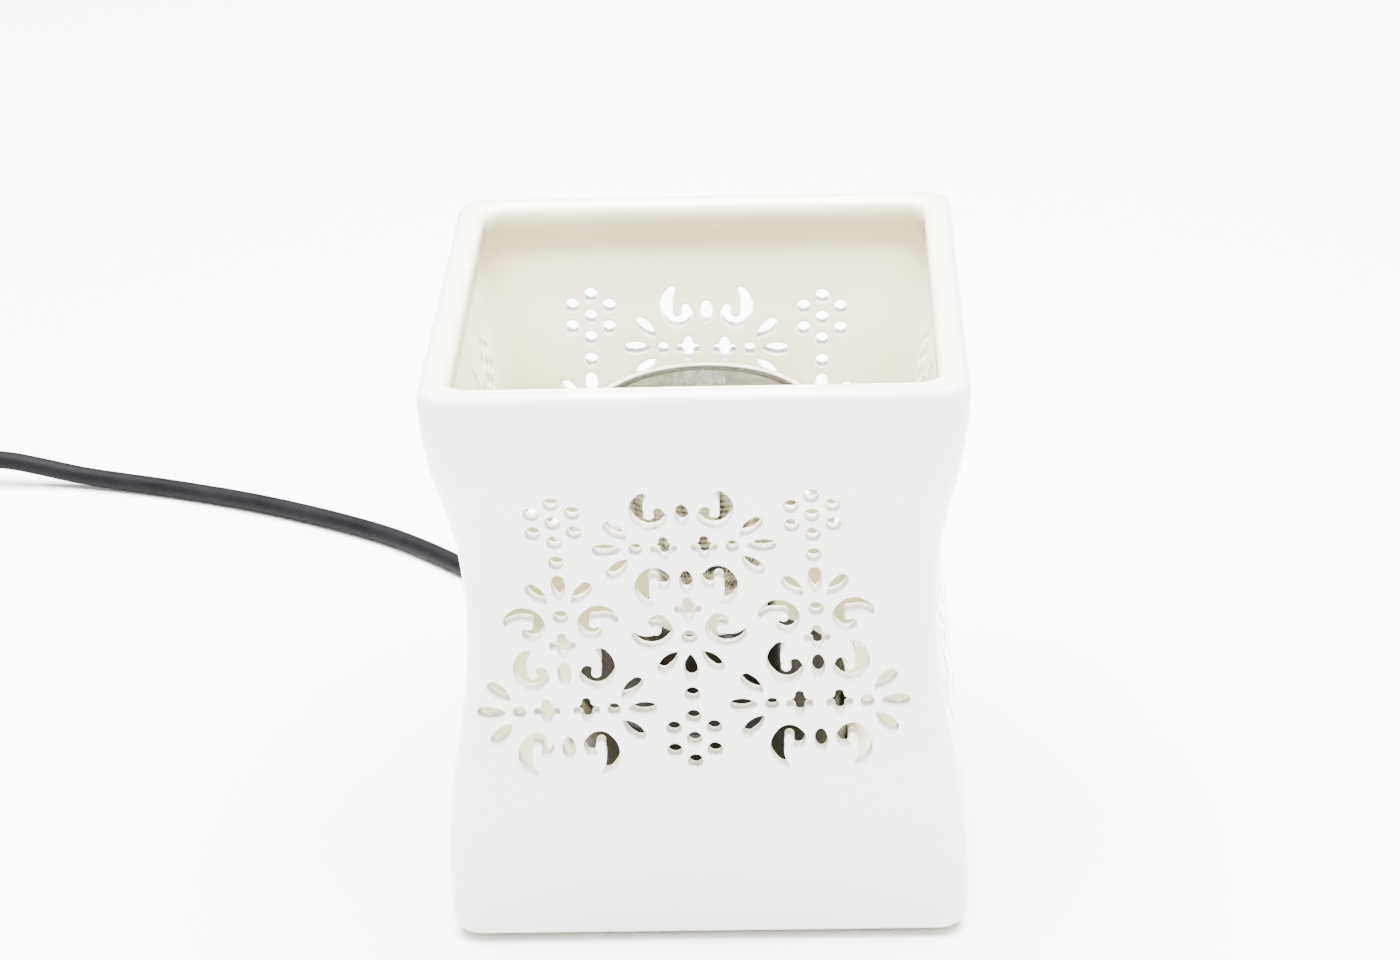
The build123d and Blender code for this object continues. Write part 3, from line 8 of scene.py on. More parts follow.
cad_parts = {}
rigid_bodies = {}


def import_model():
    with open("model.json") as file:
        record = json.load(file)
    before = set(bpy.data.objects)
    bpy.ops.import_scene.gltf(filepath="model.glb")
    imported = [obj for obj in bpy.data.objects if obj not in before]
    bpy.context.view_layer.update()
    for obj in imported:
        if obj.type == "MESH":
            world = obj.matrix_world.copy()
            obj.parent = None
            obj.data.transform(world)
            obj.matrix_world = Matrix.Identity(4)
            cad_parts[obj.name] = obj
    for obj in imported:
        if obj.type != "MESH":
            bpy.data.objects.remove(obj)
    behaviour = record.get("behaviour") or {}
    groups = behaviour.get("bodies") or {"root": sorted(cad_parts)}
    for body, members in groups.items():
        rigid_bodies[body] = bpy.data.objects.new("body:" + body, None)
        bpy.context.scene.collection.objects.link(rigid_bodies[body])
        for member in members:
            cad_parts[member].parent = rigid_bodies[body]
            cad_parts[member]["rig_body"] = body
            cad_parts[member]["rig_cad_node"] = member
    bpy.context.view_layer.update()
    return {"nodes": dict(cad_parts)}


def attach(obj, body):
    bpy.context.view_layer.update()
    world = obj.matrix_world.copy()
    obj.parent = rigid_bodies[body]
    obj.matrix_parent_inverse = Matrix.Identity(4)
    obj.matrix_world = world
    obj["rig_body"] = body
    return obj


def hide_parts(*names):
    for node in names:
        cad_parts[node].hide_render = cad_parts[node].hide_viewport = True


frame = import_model()
nodes = frame["nodes"]


# The camera, as it stood for the photograph: in front of the lantern, 26 degrees above it, and level
# but for a slight lean. It was fitted to the lantern's rim, foot and sides.
yaw, pitch, roll = math.radians(-2.16), math.radians(25.71), math.radians(-1.88)
target, distance = Vector((-0.00095, 0, 0.0821)), 0.7632
lens, sensor_width, nearest = 91.13, 36, 0.01
ahead = Vector((math.sin(yaw) * math.cos(pitch), math.cos(yaw) * math.cos(pitch), -math.sin(pitch)))
level = Vector((math.cos(yaw), -math.sin(yaw), 0))
upright = level.cross(ahead)
right = level * math.cos(roll) + upright * math.sin(roll)
top = upright * math.cos(roll) - level * math.sin(roll)
camera_data = bpy.data.cameras.new("photograph")
camera_data.lens = lens
camera_data.sensor_width = sensor_width
camera_data.clip_start = nearest
camera = bpy.data.objects.new("photograph", camera_data)
bpy.context.scene.collection.objects.link(camera)
turned = Matrix((right, top, -ahead)).transposed().to_4x4()
camera.matrix_world = Matrix.Translation(target - ahead * distance) @ turned
bpy.context.scene.camera = camera


# The cord that leaves the foot and runs off to the left: 4.8 mm over its dark grey sheath. It lies on
# the table under its own weight, and ends in the switch.
cord_diameter = 0.0048
supply_route = [
    (-0.0260, 0.0640, 0.0076),
    (-0.0260, 0.0720, 0.0076),
    (-0.0284, 0.0806, 0.0069),
    (-0.0340, 0.0895, 0.0052),
    (-0.0440, 0.0979, 0.0034),
    (-0.0588, 0.1090, 0.0024),
    (-0.0816, 0.1313, 0.0024),
    (-0.1005, 0.1436, 0.0024),
    (-0.1254, 0.1566, 0.0024),
    (-0.1537, 0.1674, 0.0024),
    (-0.1725, 0.1722, 0.0030),
    (-0.1846, 0.1741, 0.0052),
    (-0.19603, 0.17522, 0.0075),
    (-0.2050, 0.1760, 0.0075),
]


def lay_cord(name, route):
    """A cord as one smooth round curve along a route of points in metres."""
    curve = bpy.data.curves.new(name, "CURVE")
    curve.dimensions = "3D"
    curve.bevel_depth = 1
    curve.bevel_resolution = 6
    curve.use_fill_caps = True
    spline = curve.splines.new("NURBS")
    spline.points.add(len(route) - 1)
    for point, (x, y, z) in zip(spline.points, route):
        point.co = (x, y, z, 1)
        # The bevel is 1 m deep, so a point's radius is the cord's own.
        point.radius = cord_diameter / 2
    spline.order_u = 3
    spline.use_endpoint_u = True
    spline.resolution_u = 12
    piece = bpy.data.objects.new(name, curve)
    bpy.context.scene.collection.objects.link(piece)
    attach(piece, "burner")
    return piece


def named(*names):
    """The CAD nodes of these names."""
    return [nodes[name] for name in names]


supply = lay_cord("supply_lead", supply_route)
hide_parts("supply_cord")


# The rest of the cord, from the switch round to a neat coil of six turns in two layers, and on to the
# plug. It is wound for storage and held by two ties: inwards on the table, half a turn up, and outwards.
link_route = [
    (-0.26278, 0.18106, 0.0075),
    (-0.27175, 0.18184, 0.0075),
    (-0.2825, 0.1796, 0.0060),
    (-0.2918, 0.1738, 0.0046),
    (-0.2986, 0.1651, 0.0036),
    (-0.3022, 0.1547, 0.0033),
    (-0.3027, 0.1417, 0.0033),
]
tail_route = [
    (-0.3027, 0.1196, 0.0087),
    (-0.3027, 0.1096, 0.0087),
    (-0.3036, 0.0985, 0.0064),
    (-0.3026, 0.0872, 0.0038),
    (-0.2996, 0.0764, 0.0029),
    (-0.2949, 0.0666, 0.0048),
    (-0.2895, 0.0580, 0.00685),
    (-0.2850, 0.05021, 0.00685),
]
coil_turns, turns_in, turns_up, turn_steps = 6, 2.75, 0.5, 24
coil_radius, coil_pitch = 0.035, 0.0054
coil_start = (-0.3027, 0.1292, 0.0033)
coil_middle = Vector((coil_start[0] + coil_radius, coil_start[1] - cord_diameter))
coil_route = [coil_start]
for step in range(coil_turns * turn_steps + 1):
    turn = step / turn_steps
    climb = min(max((turn - turns_in) / turns_up, 0), 1)
    inwards = min(turn, turns_in, coil_turns - turn)
    if 0 < climb < 1:
        inwards = turns_in + climb * (1 - climb) / 2
    # A control point stands a little outside the turn that it draws.
    radius = (coil_radius - coil_pitch * inwards) / math.cos(math.pi / turn_steps)
    angle = math.pi * (1 + 2 * turn)
    x, y = coil_middle.x + radius * math.cos(angle), coil_middle.y + radius * math.sin(angle)
    coil_route.append((x, y, coil_start[2] + coil_pitch * climb**2 * (3 - 2 * climb)))
stored = lay_cord("stored_lead", link_route + coil_route + tail_route)
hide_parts("link_cord", "cord_coil", "plug_tail")


# The sheath of the cord: extruded dark grey plastic, satin, with a faint grain and the dust and slight
# polish of use.
class Signal:
    """A socket of a material's nodes, on which sums are written as on a number."""

    def __init__(self, finish, socket):
        self.finish, self.socket = finish, socket

    def sum(self, operation, other, turned=False):
        pair = (other, self) if turned else (self, other)
        return self.finish.add("ShaderNodeMath", {"operation": operation}, *pair)

    def __add__(self, other):
        return self.sum("ADD", other)

    def __radd__(self, other):
        return self.sum("ADD", other, True)

    def __mul__(self, other):
        return self.sum("MULTIPLY", other)

    def __rmul__(self, other):
        return self.sum("MULTIPLY", other, True)

    def __pow__(self, other):
        return self.sum("POWER", other)


class Finish:
    """A material in the making: a principled shader, and the nodes that feed it."""

    def __init__(self, name, **sockets):
        self.material = bpy.data.materials.new(name)
        self.material.use_nodes = True
        self.tree = self.material.node_tree
        self.shader = next(node for node in self.tree.nodes if node.type == "BSDF_PRINCIPLED")
        self.set(**sockets)

    def feed(self, socket, value):
        """Links a signal to a socket, or writes a plain value on it."""
        if isinstance(value, Signal):
            self.tree.links.new(value.socket, socket)
        else:
            socket.default_value = value

    def set(self, **sockets):
        """Sets the shader's sockets, a space in a name being written as an underscore."""
        for name, value in sockets.items():
            if isinstance(value, tuple) and len(value) == 3:
                value = (*value, 1)
            self.feed(self.shader.inputs[name.replace("_", " ")], value)

    def add(self, kind, settings, *values, out=0, **named_values):
        """Adds a node of a type: its settings first, then its sockets in order or by name."""
        node = self.tree.nodes.new(kind)
        for name, value in settings.items():
            if name == "stops":
                ramp = node.color_ramp
                while len(ramp.elements) < len(value):
                    ramp.elements.new(1)
                for element, (position, colour) in zip(ramp.elements, value):
                    element.position, element.color = position, colour
            else:
                setattr(node, name, value)
        for socket, value in zip(node.inputs, values):
            self.feed(socket, value)
        for name, value in named_values.items():
            self.feed(node.inputs[name.replace("_", " ")], value)
        return Signal(self, node.outputs[out])

    def place(self):
        """The place on the object, in metres, as three signals: across, along and up."""
        parts = self.add("ShaderNodeSeparateXYZ", {}, self.add("ShaderNodeTexCoord", {}, out=3))
        return [Signal(self, socket) for socket in parts.socket.node.outputs]

    def noise(self, scale, detail=3.0, roughness=0.5, stretch=(1, 1, 1)):
        """Noise on the object's own coordinates, about 0 to 1, its scale in grains to the metre."""
        spot = self.add("ShaderNodeTexCoord", {}, out=3)
        spot = self.add("ShaderNodeMapping", {}, spot, Scale=stretch)
        grain = {"Scale": scale, "Detail": detail, "Roughness": roughness}
        return self.add("ShaderNodeTexNoise", {}, Vector=spot, **grain)

    def ramp(self, signal, *stops, full=1):
        """A ramp of grey levels over a signal, its stops given between 0 and full."""
        greys = [(at / full, (level, level, level, 1)) for at, level in stops]
        return self.add("ShaderNodeValToRGB", {"stops": greys}, signal if full == 1 else signal * (1 / full))

    def blend(self, share, first, second):
        """A colour between two, by a share."""
        node = self.tree.nodes.new("ShaderNodeMix")
        node.data_type = "RGBA"
        self.feed(node.inputs[0], share)
        for socket, value in zip((node.inputs[6], node.inputs[7]), (first, second)):
            self.feed(socket, (*value, 1) if isinstance(value, tuple) else value)
        return Signal(self, node.outputs[2])

    def bump(self, height, distance):
        """Feeds a height, which distance in metres scales, to the shader's normal."""
        self.set(Normal=self.add("ShaderNodeBump", {}, Strength=1.0, Distance=distance, Height=height))


def dress(finish, *pieces):
    """Puts one finish all over the pieces."""
    for piece in pieces:
        piece.data.materials.clear()
        piece.data.materials.append(finish.material)


sheath = Finish("cord_sheath_satin", Specular_IOR_Level=0.045)
handled = sheath.ramp(sheath.noise(90, 5, 0.6), (0.35, 0.0), (0.7, 1.0))
sheath.set(Base_Color=sheath.blend(handled, (0.0034, 0.0032, 0.0039), (0.0061, 0.0058, 0.0070)))
sheath.set(Roughness=0.46 + handled * 0.14)
sheath.bump(sheath.noise(1600, 3, 0.55), 0.00006)
dress(sheath, supply, stored, nodes["cord_inner"])


# The lantern: one piece of slip-cast earthenware under a white glaze, 110 mm square, pierced on its
# four walls. The glaze rounds every edge. It is white outside; the inside of the walls and the sides of
# the openings are painted cream, a painted warm shade of the light bounced about inside.
belly, waist, rim = (0.0547, 0.013), (0.0486, 0.075), (0.0550, 0.127)
wall, outer_corner, inner_corner = 0.0034, 0.0065, 0.0031


def side_at(height):
    """The lantern's outer half width at a height: pairs of equal arcs with upright ends."""
    if height <= belly[1]:
        return belly[0]
    low, high = (belly, waist) if height < waist[1] else (waist, rim)
    rise, swing = (high[1] - low[1]) / 2, (high[0] - low[0]) / 2
    bend = (rise * rise + swing * swing) / (2 * abs(swing))
    way = math.copysign(1, swing)
    if height <= low[1] + rise:
        return low[0] + way * (bend - math.sqrt(max(bend**2 - (height - low[1]) ** 2, 0)))
    return high[0] - way * (bend - math.sqrt(max(bend**2 - (high[1] - height) ** 2, 0)))


def copy_of(name, new_name):
    """A copy of a CAD node with a mesh of its own, its loose triangles merged, that stands for it."""
    piece = nodes[name].copy()
    piece.data = nodes[name].data.copy()
    piece.name = new_name
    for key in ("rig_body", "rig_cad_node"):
        if key in piece:
            del piece[key]
    piece.parent = None
    bpy.context.scene.collection.objects.link(piece)
    shape = bmesh.new()
    shape.from_mesh(piece.data)
    bmesh.ops.remove_doubles(shape, verts=shape.verts, dist=0.000002)
    shape.to_mesh(piece.data)
    shape.free()
    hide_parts(name)
    return piece


def smooth(piece, degrees):
    """Shades a piece smooth, but for edges sharper than an angle."""
    bpy.ops.object.select_all(action="DESELECT")
    piece.select_set(True)
    bpy.context.view_layer.objects.active = piece
    bpy.ops.object.shade_smooth_by_angle(angle=math.radians(degrees))


def wall_normal(spot, inset, corner, reach=0.0002, skin=0.00006):
    """The wall's true normal at a point, its side moved in by inset, or None off the wall."""
    half = side_at(spot.z) - inset
    lean = (side_at(spot.z + reach) - side_at(spot.z - reach)) / (2 * reach)
    across = Vector((abs(spot.x) - half + corner, abs(spot.y) - half + corner))
    if min(across) < 0:
        across = Vector((1, 0)) if across.x > across.y else Vector((0, 1))
        gap = max(abs(spot.x), abs(spot.y)) - half
    else:
        gap = across.length - corner
        across.normalize()
    if abs(gap) > skin:
        return None
    sides = (math.copysign(across.x, spot.x), math.copysign(across.y, spot.y))
    return Vector((*sides, -lean * (across.x + across.y))).normalized()


lantern = copy_of("ceramic_body", "lantern")
depths = lantern.data.attributes.new("glaze_depth", "FLOAT", "POINT")
for vertex, mark in zip(lantern.data.vertices, depths.data):
    depth = side_at(vertex.co.z) - max(abs(vertex.co.x), abs(vertex.co.y))
    mark.value = min(max(depth / wall, 0), 1)
smooth(lantern, 35)

# The glaze lies as smooth as the mould's walls, so each wall is shaded by its own curve, and the fine
# triangles between the openings don't show. Each wall has its inset, corner, lowest and highest point,
# and the way it faces: outwards or inwards.
walls = ((0, outer_corner, 0.0052, 0.1244, 1), (wall, inner_corner, 0.0167, 0.1185, -1))
along_wall = 0.9
shading = [Vector(corner.vector) for corner in lantern.data.corner_normals]
for face in lantern.data.polygons:
    for corner in face.loop_indices:
        spot = lantern.data.vertices[lantern.data.loops[corner].vertex_index].co
        for inset, radius, low, high, way in walls:
            normal = wall_normal(spot, inset, radius) if low < spot.z < high else None
            if normal and face.normal.dot(normal) * way > along_wall:
                shading[corner] = normal * way
lantern.data.normals_split_custom_set(shading)
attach(lantern, "burner")

glaze = Finish("white_glaze", IOR=1.52, Specular_IOR_Level=0.5)
cloud = glaze.ramp(glaze.noise(14, 4, 0.55), (0.3, 0.0), (0.7, 1.0))
white = glaze.blend(cloud, (0.700, 0.674, 0.655), (0.725, 0.700, 0.682))
# The cream is a painted warm shade, of the light bounced about inside the walls and openings.
cream_shade = glaze.blend(cloud, (0.860, 0.795, 0.595), (0.880, 0.820, 0.635))
# The painted cream shade is darker and yellower towards the floor, a painted shade deep inside the box.
low_shade = glaze.ramp(glaze.place()[2], (0.030, 1.0), (0.068, 0.0), full=0.1)
cream_shade = glaze.blend(low_shade, cream_shade, (0.690, 0.665, 0.435))
depth = glaze.add("ShaderNodeAttribute", {"attribute_name": "glaze_depth"}, out=2)
inside = glaze.ramp(depth, (0.30, 0.0), (0.88, 0.3), (0.97, 1.0))
glaze.set(Base_Color=glaze.blend(inside, white, cream_shade), Roughness=0.09 + 0.07 * glaze.noise(60, 4, 0.6))
edge = glaze.add("ShaderNodeBevel", {"samples": 6}, Radius=0.0006)
ripple = glaze.noise(26, 3, 0.5) + 0.08 * glaze.noise(420, 2, 0.5)
glaze.set(Normal=glaze.add("ShaderNodeBump", {}, Strength=1.0, Distance=0.0006, Height=ripple, Normal=edge))
dress(glaze, lantern)


# The glossy black mouldings: the lampholder's cup and the switch's rocker. Their mould was polished,
# so they carry only a faint ripple.
gloss_black = ((0.006, 0.0058, 0.0056), (0.010, 0.0095, 0.009))
glossy = Finish("holder_gloss", Specular_IOR_Level=0.08)
glossy.set(Base_Color=glossy.blend(glossy.noise(200, 4), *gloss_black))
glossy.set(Roughness=0.08 + 0.12 * glossy.noise(700, 4, 0.6))
glossy.bump(glossy.noise(900, 2, 0.5), 0.00002)
dress(glossy, *named("holder_body", "switch_rocker"))


# The drum: the wide black housing that the holder stands in, as glossy as the cup. Its flange, which
# clamps the lantern's floor, lies on the floor and is painted cream like it.
paint_from, paint_full, paint_top, paint_end = 0.0301, 0.0303, 0.0200, 0.0205
drum = Finish("drum_black_cream_flange", Specular_IOR_Level=0.07)
across, along, up = drum.place()
reach = (across * across + along * along) ** 0.5
beside = drum.ramp(reach, (paint_from, 0.0), (paint_full, 1.0), full=0.05)
painted = beside * drum.ramp(up, (paint_top, 1.0), (paint_end, 0.0), full=0.05)
black = drum.blend(drum.noise(200, 4), *gloss_black)
paint = drum.blend(drum.noise(60, 4), (0.78, 0.73, 0.60), (0.84, 0.79, 0.66))
drum.set(Base_Color=drum.blend(painted, black, paint), Roughness=0.12 + 0.16 * drum.noise(600, 4, 0.6))
drum.bump(drum.noise(900, 2, 0.5), 0.00002)
dress(drum, nodes["lamp_housing"])


# The matt black mouldings: the tray under the floor, the holder's lower half, the switch, the plug and
# the ties of the coil, each with the fine spark texture of its mould.
moulded = Finish("moulded_black", Specular_IOR_Level=0.08)
moulded_black = ((0.0036, 0.0036, 0.0038), (0.0072, 0.0072, 0.0076))
moulded.set(Base_Color=moulded.blend(moulded.noise(160, 4), *moulded_black))
moulded.set(Roughness=0.34 + 0.22 * moulded.noise(500, 4, 0.6))
moulded.bump(moulded.noise(3200, 2, 0.6), 0.00004)
dress(moulded, *named("base_tray", "holder_cap", "switch_base", "switch_cover"))
dress(moulded, *named("plug_body", "plug_sleeves", "cord_ties"))


# The rubber: four feet under the tray, the bush where the cord leaves it, and the plug's bend relief.
# Moulded of soft black rubber, matt and a little dusty.
rubber = Finish("black_rubber", Specular_IOR_Level=0.08)
rubber.set(Base_Color=rubber.blend(rubber.noise(140, 5), (0.006, 0.006, 0.0063), (0.013, 0.0127, 0.0127)))
rubber.set(Roughness=0.6 + 0.25 * rubber.noise(420, 4, 0.6))
rubber.bump(rubber.noise(2400, 3, 0.6), 0.00005)
dress(rubber, *named("rubber_feet", "cord_bush", "plug_relief"))


# The gaskets: thin rings cut from translucent silicone sheet, matt and a little dusty. One lies under
# the lantern's floor and one over it, so that the screws don't press on the glaze.
silicone = Finish("silicone_sheet", Roughness=0.55, Specular_IOR_Level=0.4)
silicone.set(Base_Color=silicone.blend(silicone.noise(120, 5), (0.42, 0.42, 0.40), (0.55, 0.55, 0.53)))
silicone.bump(silicone.noise(1800, 3, 0.5), 0.00004)
dress(silicone, *named("floor_gasket_lower", "floor_gasket_upper"))


# The grey metal: all screws, and the bracket that carries the holder, of zinc-plated steel. The lamp's
# thin filament is as grey as they are.
zinc = Finish("zinc_plate", Metallic=1.0)
zinc.set(Base_Color=zinc.blend(zinc.noise(260, 5, 0.6), (0.50, 0.50, 0.49), (0.66, 0.65, 0.62)))
zinc.set(Roughness=0.24 + 0.25 * zinc.noise(600, 4, 0.6))
zinc.bump(zinc.noise(3000, 2, 0.5), 0.00002)
dress(zinc, *named("housing_screws", "holder_screws", "holder_bracket", "bracket_screws"))
dress(zinc, *named("terminal_screws", "block_screw", "grip_screws", "switch_screws", "lamp_filament"))


# The yellow metal: contacts, terminal tubes, the switch's blade and the pins of lamp and plug, all of
# bright brass, drawn or stamped.
brass = Finish("bright_brass", Metallic=1.0)
brass.set(Base_Color=brass.blend(brass.noise(300, 5, 0.6), (0.62, 0.43, 0.19), (0.80, 0.62, 0.32)))
brass.set(Roughness=0.2 + 0.25 * brass.noise(700, 4, 0.6))
brass.bump(brass.noise(2600, 2, 0.5), 0.00002)
dress(brass, *named("holder_contacts", "terminal_tubes", "lamp_pins"))
dress(brass, *named("switch_contacts", "switch_blade", "plug_pins"))


# The wiring inside: an off-white moulded terminal block and grip bar, white sleeved leads from the
# holder, and the cord's brown and blue cores.
block = Finish("terminal_white", Roughness=0.4)
block.set(Base_Color=block.blend(block.noise(120, 4), (0.70, 0.69, 0.64), (0.79, 0.78, 0.73)))
block.bump(block.noise(1500, 3), 0.00004)
dress(block, *named("terminal_block", "cord_grip"))

for name, low, high, pieces in (
    ("lead_white", (0.62, 0.61, 0.57), (0.74, 0.73, 0.69), ("holder_lead_live", "holder_lead_neutral")),
    ("core_brown", (0.10, 0.045, 0.02), (0.15, 0.07, 0.035), ("cord_core_live", "switch_cores")),
    ("core_blue", (0.02, 0.07, 0.30), (0.035, 0.11, 0.40), ("cord_core_neutral",)),
):
    sleeve = Finish(name, Roughness=0.4)
    sleeve.set(Base_Color=sleeve.blend(sleeve.noise(220, 4), low, high))
    sleeve.bump(sleeve.noise(1800, 3), 0.00004)
    dress(sleeve, *named(*pieces))


# The lamp's base: pressed cream steatite, dull and a little grainy. It carries the two pins, and the
# neck of the reflector is cemented into it.
steatite = Finish("lamp_base_ceramic", Roughness=0.6)
steatite.set(Base_Color=steatite.blend(steatite.noise(180, 5, 0.6), (0.72, 0.68, 0.56), (0.82, 0.79, 0.68)))
steatite.bump(steatite.noise(1400, 4, 0.6), 0.00008)
dress(steatite, nodes["lamp_base"])


# The lamp's bowl: pressed glass, silvered, with shallow steps outside and rows of small flat mirrors
# inside. The rim is left bare, a pale ring 2.2 mm wide. The bowl is 50 mm across.
outer_rows, mirror_rows, mirrors_round = 36, 14, 60
step_rows, smooth_rows, step_depth = 4, 10, 0.00022
neck_outside, neck_inside = (0.0102, 0.0510), (0.0088, 0.0510)
rim_outline = [
    (0.0250, 0.0937),
    (0.0250, 0.0986),
    (0.02485, 0.09895),
    (0.0245, 0.0991),
    (0.0232, 0.0991),
    (0.0229, 0.0990),
    (0.0228, 0.0987),
    (0.0228, 0.0973),
    (0.0220, 0.0973),
    (0.02195, 0.0958),
    (0.0219, 0.0942),
]


def arc(start, through, end, steps):
    """Points of (radius, height) from start up to end on the circle through three points."""
    (ax, ay), (bx, by), (cx, cy) = start, through, end
    scale = 2 * (ax * (by - cy) + bx * (cy - ay) + cx * (ay - by))
    a, b, c = ax * ax + ay * ay, bx * bx + by * by, cx * cx + cy * cy
    x = (a * (by - cy) + b * (cy - ay) + c * (ay - by)) / scale
    y = (a * (cx - bx) + b * (ax - cx) + c * (bx - ax)) / scale
    turns = [math.atan2(py - y, px - x) for px, py in (start, end)]
    swing = math.remainder(turns[1] - turns[0], 2 * math.pi)
    radius = math.hypot(ax - x, ay - y)
    angles = [turns[0] + swing * step / steps for step in range(steps + 1)]
    return [(x + radius * math.cos(angle), y + radius * math.sin(angle)) for angle in angles]


def spun(name, outline, steps):
    """A turned piece, its closed outline of (radius, height) points spun about the lamp's axis."""
    bpy.ops.object.select_all(action="DESELECT")
    shape = bpy.data.meshes.new(name)
    edges = [(at, (at + 1) % len(outline)) for at in range(len(outline))]
    shape.from_pydata([(radius, 0, height) for radius, height in outline], edges, [])
    piece = bpy.data.objects.new(name, shape)
    bpy.context.scene.collection.objects.link(piece)
    piece.select_set(True)
    bpy.context.view_layer.objects.active = piece
    bpy.ops.object.mode_set(mode="EDIT")
    bpy.ops.mesh.select_all(action="SELECT")
    bpy.ops.mesh.spin(steps=steps, angle=2 * math.pi, center=(0, 0, 0), axis=(0, 0, 1))
    bpy.ops.mesh.select_all(action="SELECT")
    bpy.ops.mesh.remove_doubles(threshold=0.00001)
    bpy.ops.mesh.normals_make_consistent(inside=False)
    bpy.ops.object.mode_set(mode="OBJECT")
    return piece


outside = arc((0.0102, 0.0610), (0.0186, 0.0740), (0.0244, 0.0927), outer_rows)
stepped = [
    (radius - step_depth if at % step_rows == 0 and at > smooth_rows else radius, height)
    for at, (radius, height) in enumerate(outside)
]
mirrored = arc((0.0216, 0.0927), (0.0166, 0.0748), (0.0088, 0.0610), mirror_rows)
bowl_outline = [neck_outside, *stepped, *rim_outline, *mirrored, neck_inside]
bowl = spun("lamp_bowl", bowl_outline, mirrors_round)
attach(bowl, "lamp")
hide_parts("lamp_reflector")
smooth(bowl, 30)

# Outside, the silver has 88 faint flutes and is streaked from the neck to the rim. Its colour carries a
# painted reflection: dark and bright streaks, and a band each 1.4 mm.
flute_count, band_rate = 88, 4400
silver = Finish("silvered_back", Metallic=1.0)
across, along, up = silver.place()
turn = silver.add("ShaderNodeMath", {"operation": "ARCTAN2"}, along, across)
flutes = silver.add("ShaderNodeMath", {"operation": "SINE"}, turn * flute_count)
reflected_bands = silver.add("ShaderNodeMath", {"operation": "SINE"}, up * band_rate)
streaks = silver.ramp(silver.noise(420, 3, 0.6, stretch=(1, 1, 0.06)), (0.35, 0.0), (0.65, 1.0))
painted_reflection = silver.ramp(streaks * 0.66 + reflected_bands * 0.12 + 0.17, (0.1, 0.0), (0.9, 1.0))
silver.set(Base_Color=silver.blend(painted_reflection, (0.04, 0.04, 0.04), (0.62, 0.61, 0.57)))
silver.set(Roughness=0.12 + 0.22 * silver.noise(300, 3))
silver.bump(flutes + 0.5 * streaks, 0.00010)

# Inside, each mirror is painted with a glint of its own, a painted reflection spread evenly round the
# rows and from row to row. It goes by the mirror's place, because the order of the faces differs from
# run to run.
column_share, row_share = 0.7548777, 0.5698403
glints = bowl.data.attributes.new("facet_tone", "FLOAT", "FACE")
for face, mark in zip(bowl.data.polygons, glints.data):
    column = math.floor(math.atan2(face.center.y, face.center.x) * mirrors_round / (2 * math.pi))
    row = sum(height > face.center.z for radius, height in (*rim_outline, *mirrored))
    mark.value = (column * column_share + row * row_share) % 1
mirror = Finish("mirror_facets", Metallic=1.0)
glint = mirror.add("ShaderNodeAttribute", {"attribute_name": "facet_tone"}, out=2)
sparkle = mirror.ramp(mirror.noise(900, 2, 0.6), (0.42, 0.0), (0.58, 1.0))
mirror.set(Base_Color=mirror.blend(0.65 * glint + 0.35 * sparkle, (0.42, 0.43, 0.44), (1.0, 1.0, 1.0)))
mirror.set(Roughness=0.04 + 0.10 * mirror.noise(500, 3))
mirror.bump(mirror.noise(500, 2), 0.00006)
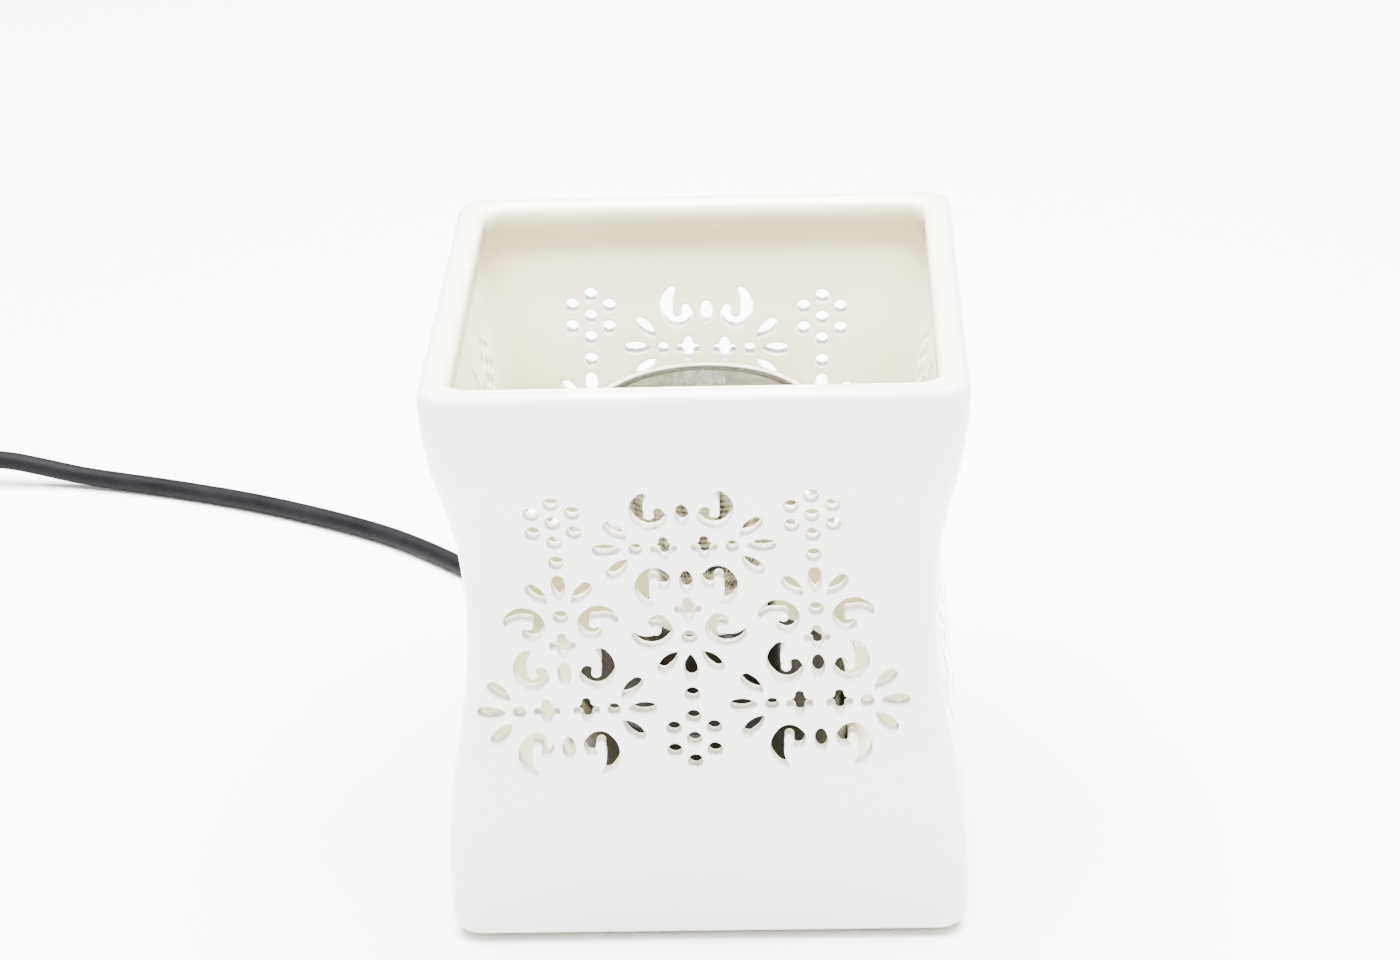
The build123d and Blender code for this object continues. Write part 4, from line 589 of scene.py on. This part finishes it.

# The bare rim is a pale ring along its crest, and painted darker beside it, a painted shade at its edges.
pressed = Finish("pressed_glass_rim", Roughness=0.2, IOR=1.5)
across, along, up = pressed.place()
reach = (across * across + along * along) ** 0.5
ring = ((0.022867, 0.0), (0.023067, 1.0), (0.024067, 1.0), (0.0244, 0.0))
unshaded_crest = pressed.ramp(reach, *ring, full=1 / 30)
bare = pressed.blend(pressed.noise(90, 3), (0.40, 0.37, 0.29), (0.48, 0.45, 0.36))
pressed.set(Base_Color=pressed.blend(unshaded_crest, (0.13, 0.13, 0.115), bare))
pressed.bump(pressed.noise(500, 2), 0.00003)

rim_height, edge_height, edge_radius = 0.0972, 0.0930, 0.0241
dress(silver, bowl)
bowl.data.materials.append(mirror.material)
bowl.data.materials.append(pressed.material)
for face in bowl.data.polygons:
    x, y, z = face.center
    if z > rim_height or math.hypot(x, y) > edge_radius and z > edge_height:
        face.material_index = 2
    elif face.normal.x * x + face.normal.y * y < 0:
        face.material_index = 1
        face.use_smooth = False


# The lamp's clear glass: the front lens that closes the bowl, and the small capsule round the filament.
# Both are pressed or blown thin, with a faint waviness.
clear = Finish("clear_glass", Roughness=0.03, IOR=1.5, Transmission_Weight=1.0)
clear.set(Base_Color=clear.blend(clear.noise(40, 3), (0.93, 0.97, 0.97), (0.98, 0.99, 0.99)))
clear.bump(clear.noise(120, 2), 0.00005)
dress(clear, *named("lamp_glass", "lamp_capsule"))


# The stage: a plain white floor under plain soft studio light. One large soft light hangs overhead, a
# weak one stands on each side in front, and the rest comes evenly from all round.
floor_size, surroundings = 8, 0.8
lights = (
    ("overhead", 1.4, 280, (0, 0.1, 1.3)),
    ("left_front", 0.9, 6, (-0.9, -0.9, 0.7)),
    ("right_front", 0.9, 6, (0.9, -0.9, 0.7)),
)
lit_point = Vector((0, 0, 0.06))
bpy.ops.mesh.primitive_plane_add(size=floor_size)
floor = bpy.context.active_object
floor.name = "table"
pale = Finish("table_white", Roughness=0.8, Specular_IOR_Level=0.1)
pale.set(Base_Color=(0.95, 0.95, 0.95))
dress(pale, floor)

for name, size, power, stand in lights:
    light = bpy.data.lights.new(name, "AREA")
    light.size, light.energy = size, power
    softbox = bpy.data.objects.new(name, light)
    bpy.context.scene.collection.objects.link(softbox)
    softbox.location = stand
    softbox.rotation_euler = (lit_point - Vector(stand)).to_track_quat("-Z", "Y").to_euler()
world = bpy.data.worlds.new("studio")
world.use_nodes = True
world.node_tree.nodes["Background"].inputs[0].default_value = (1, 1, 1, 1)
world.node_tree.nodes["Background"].inputs[1].default_value = surroundings
bpy.context.scene.world = world
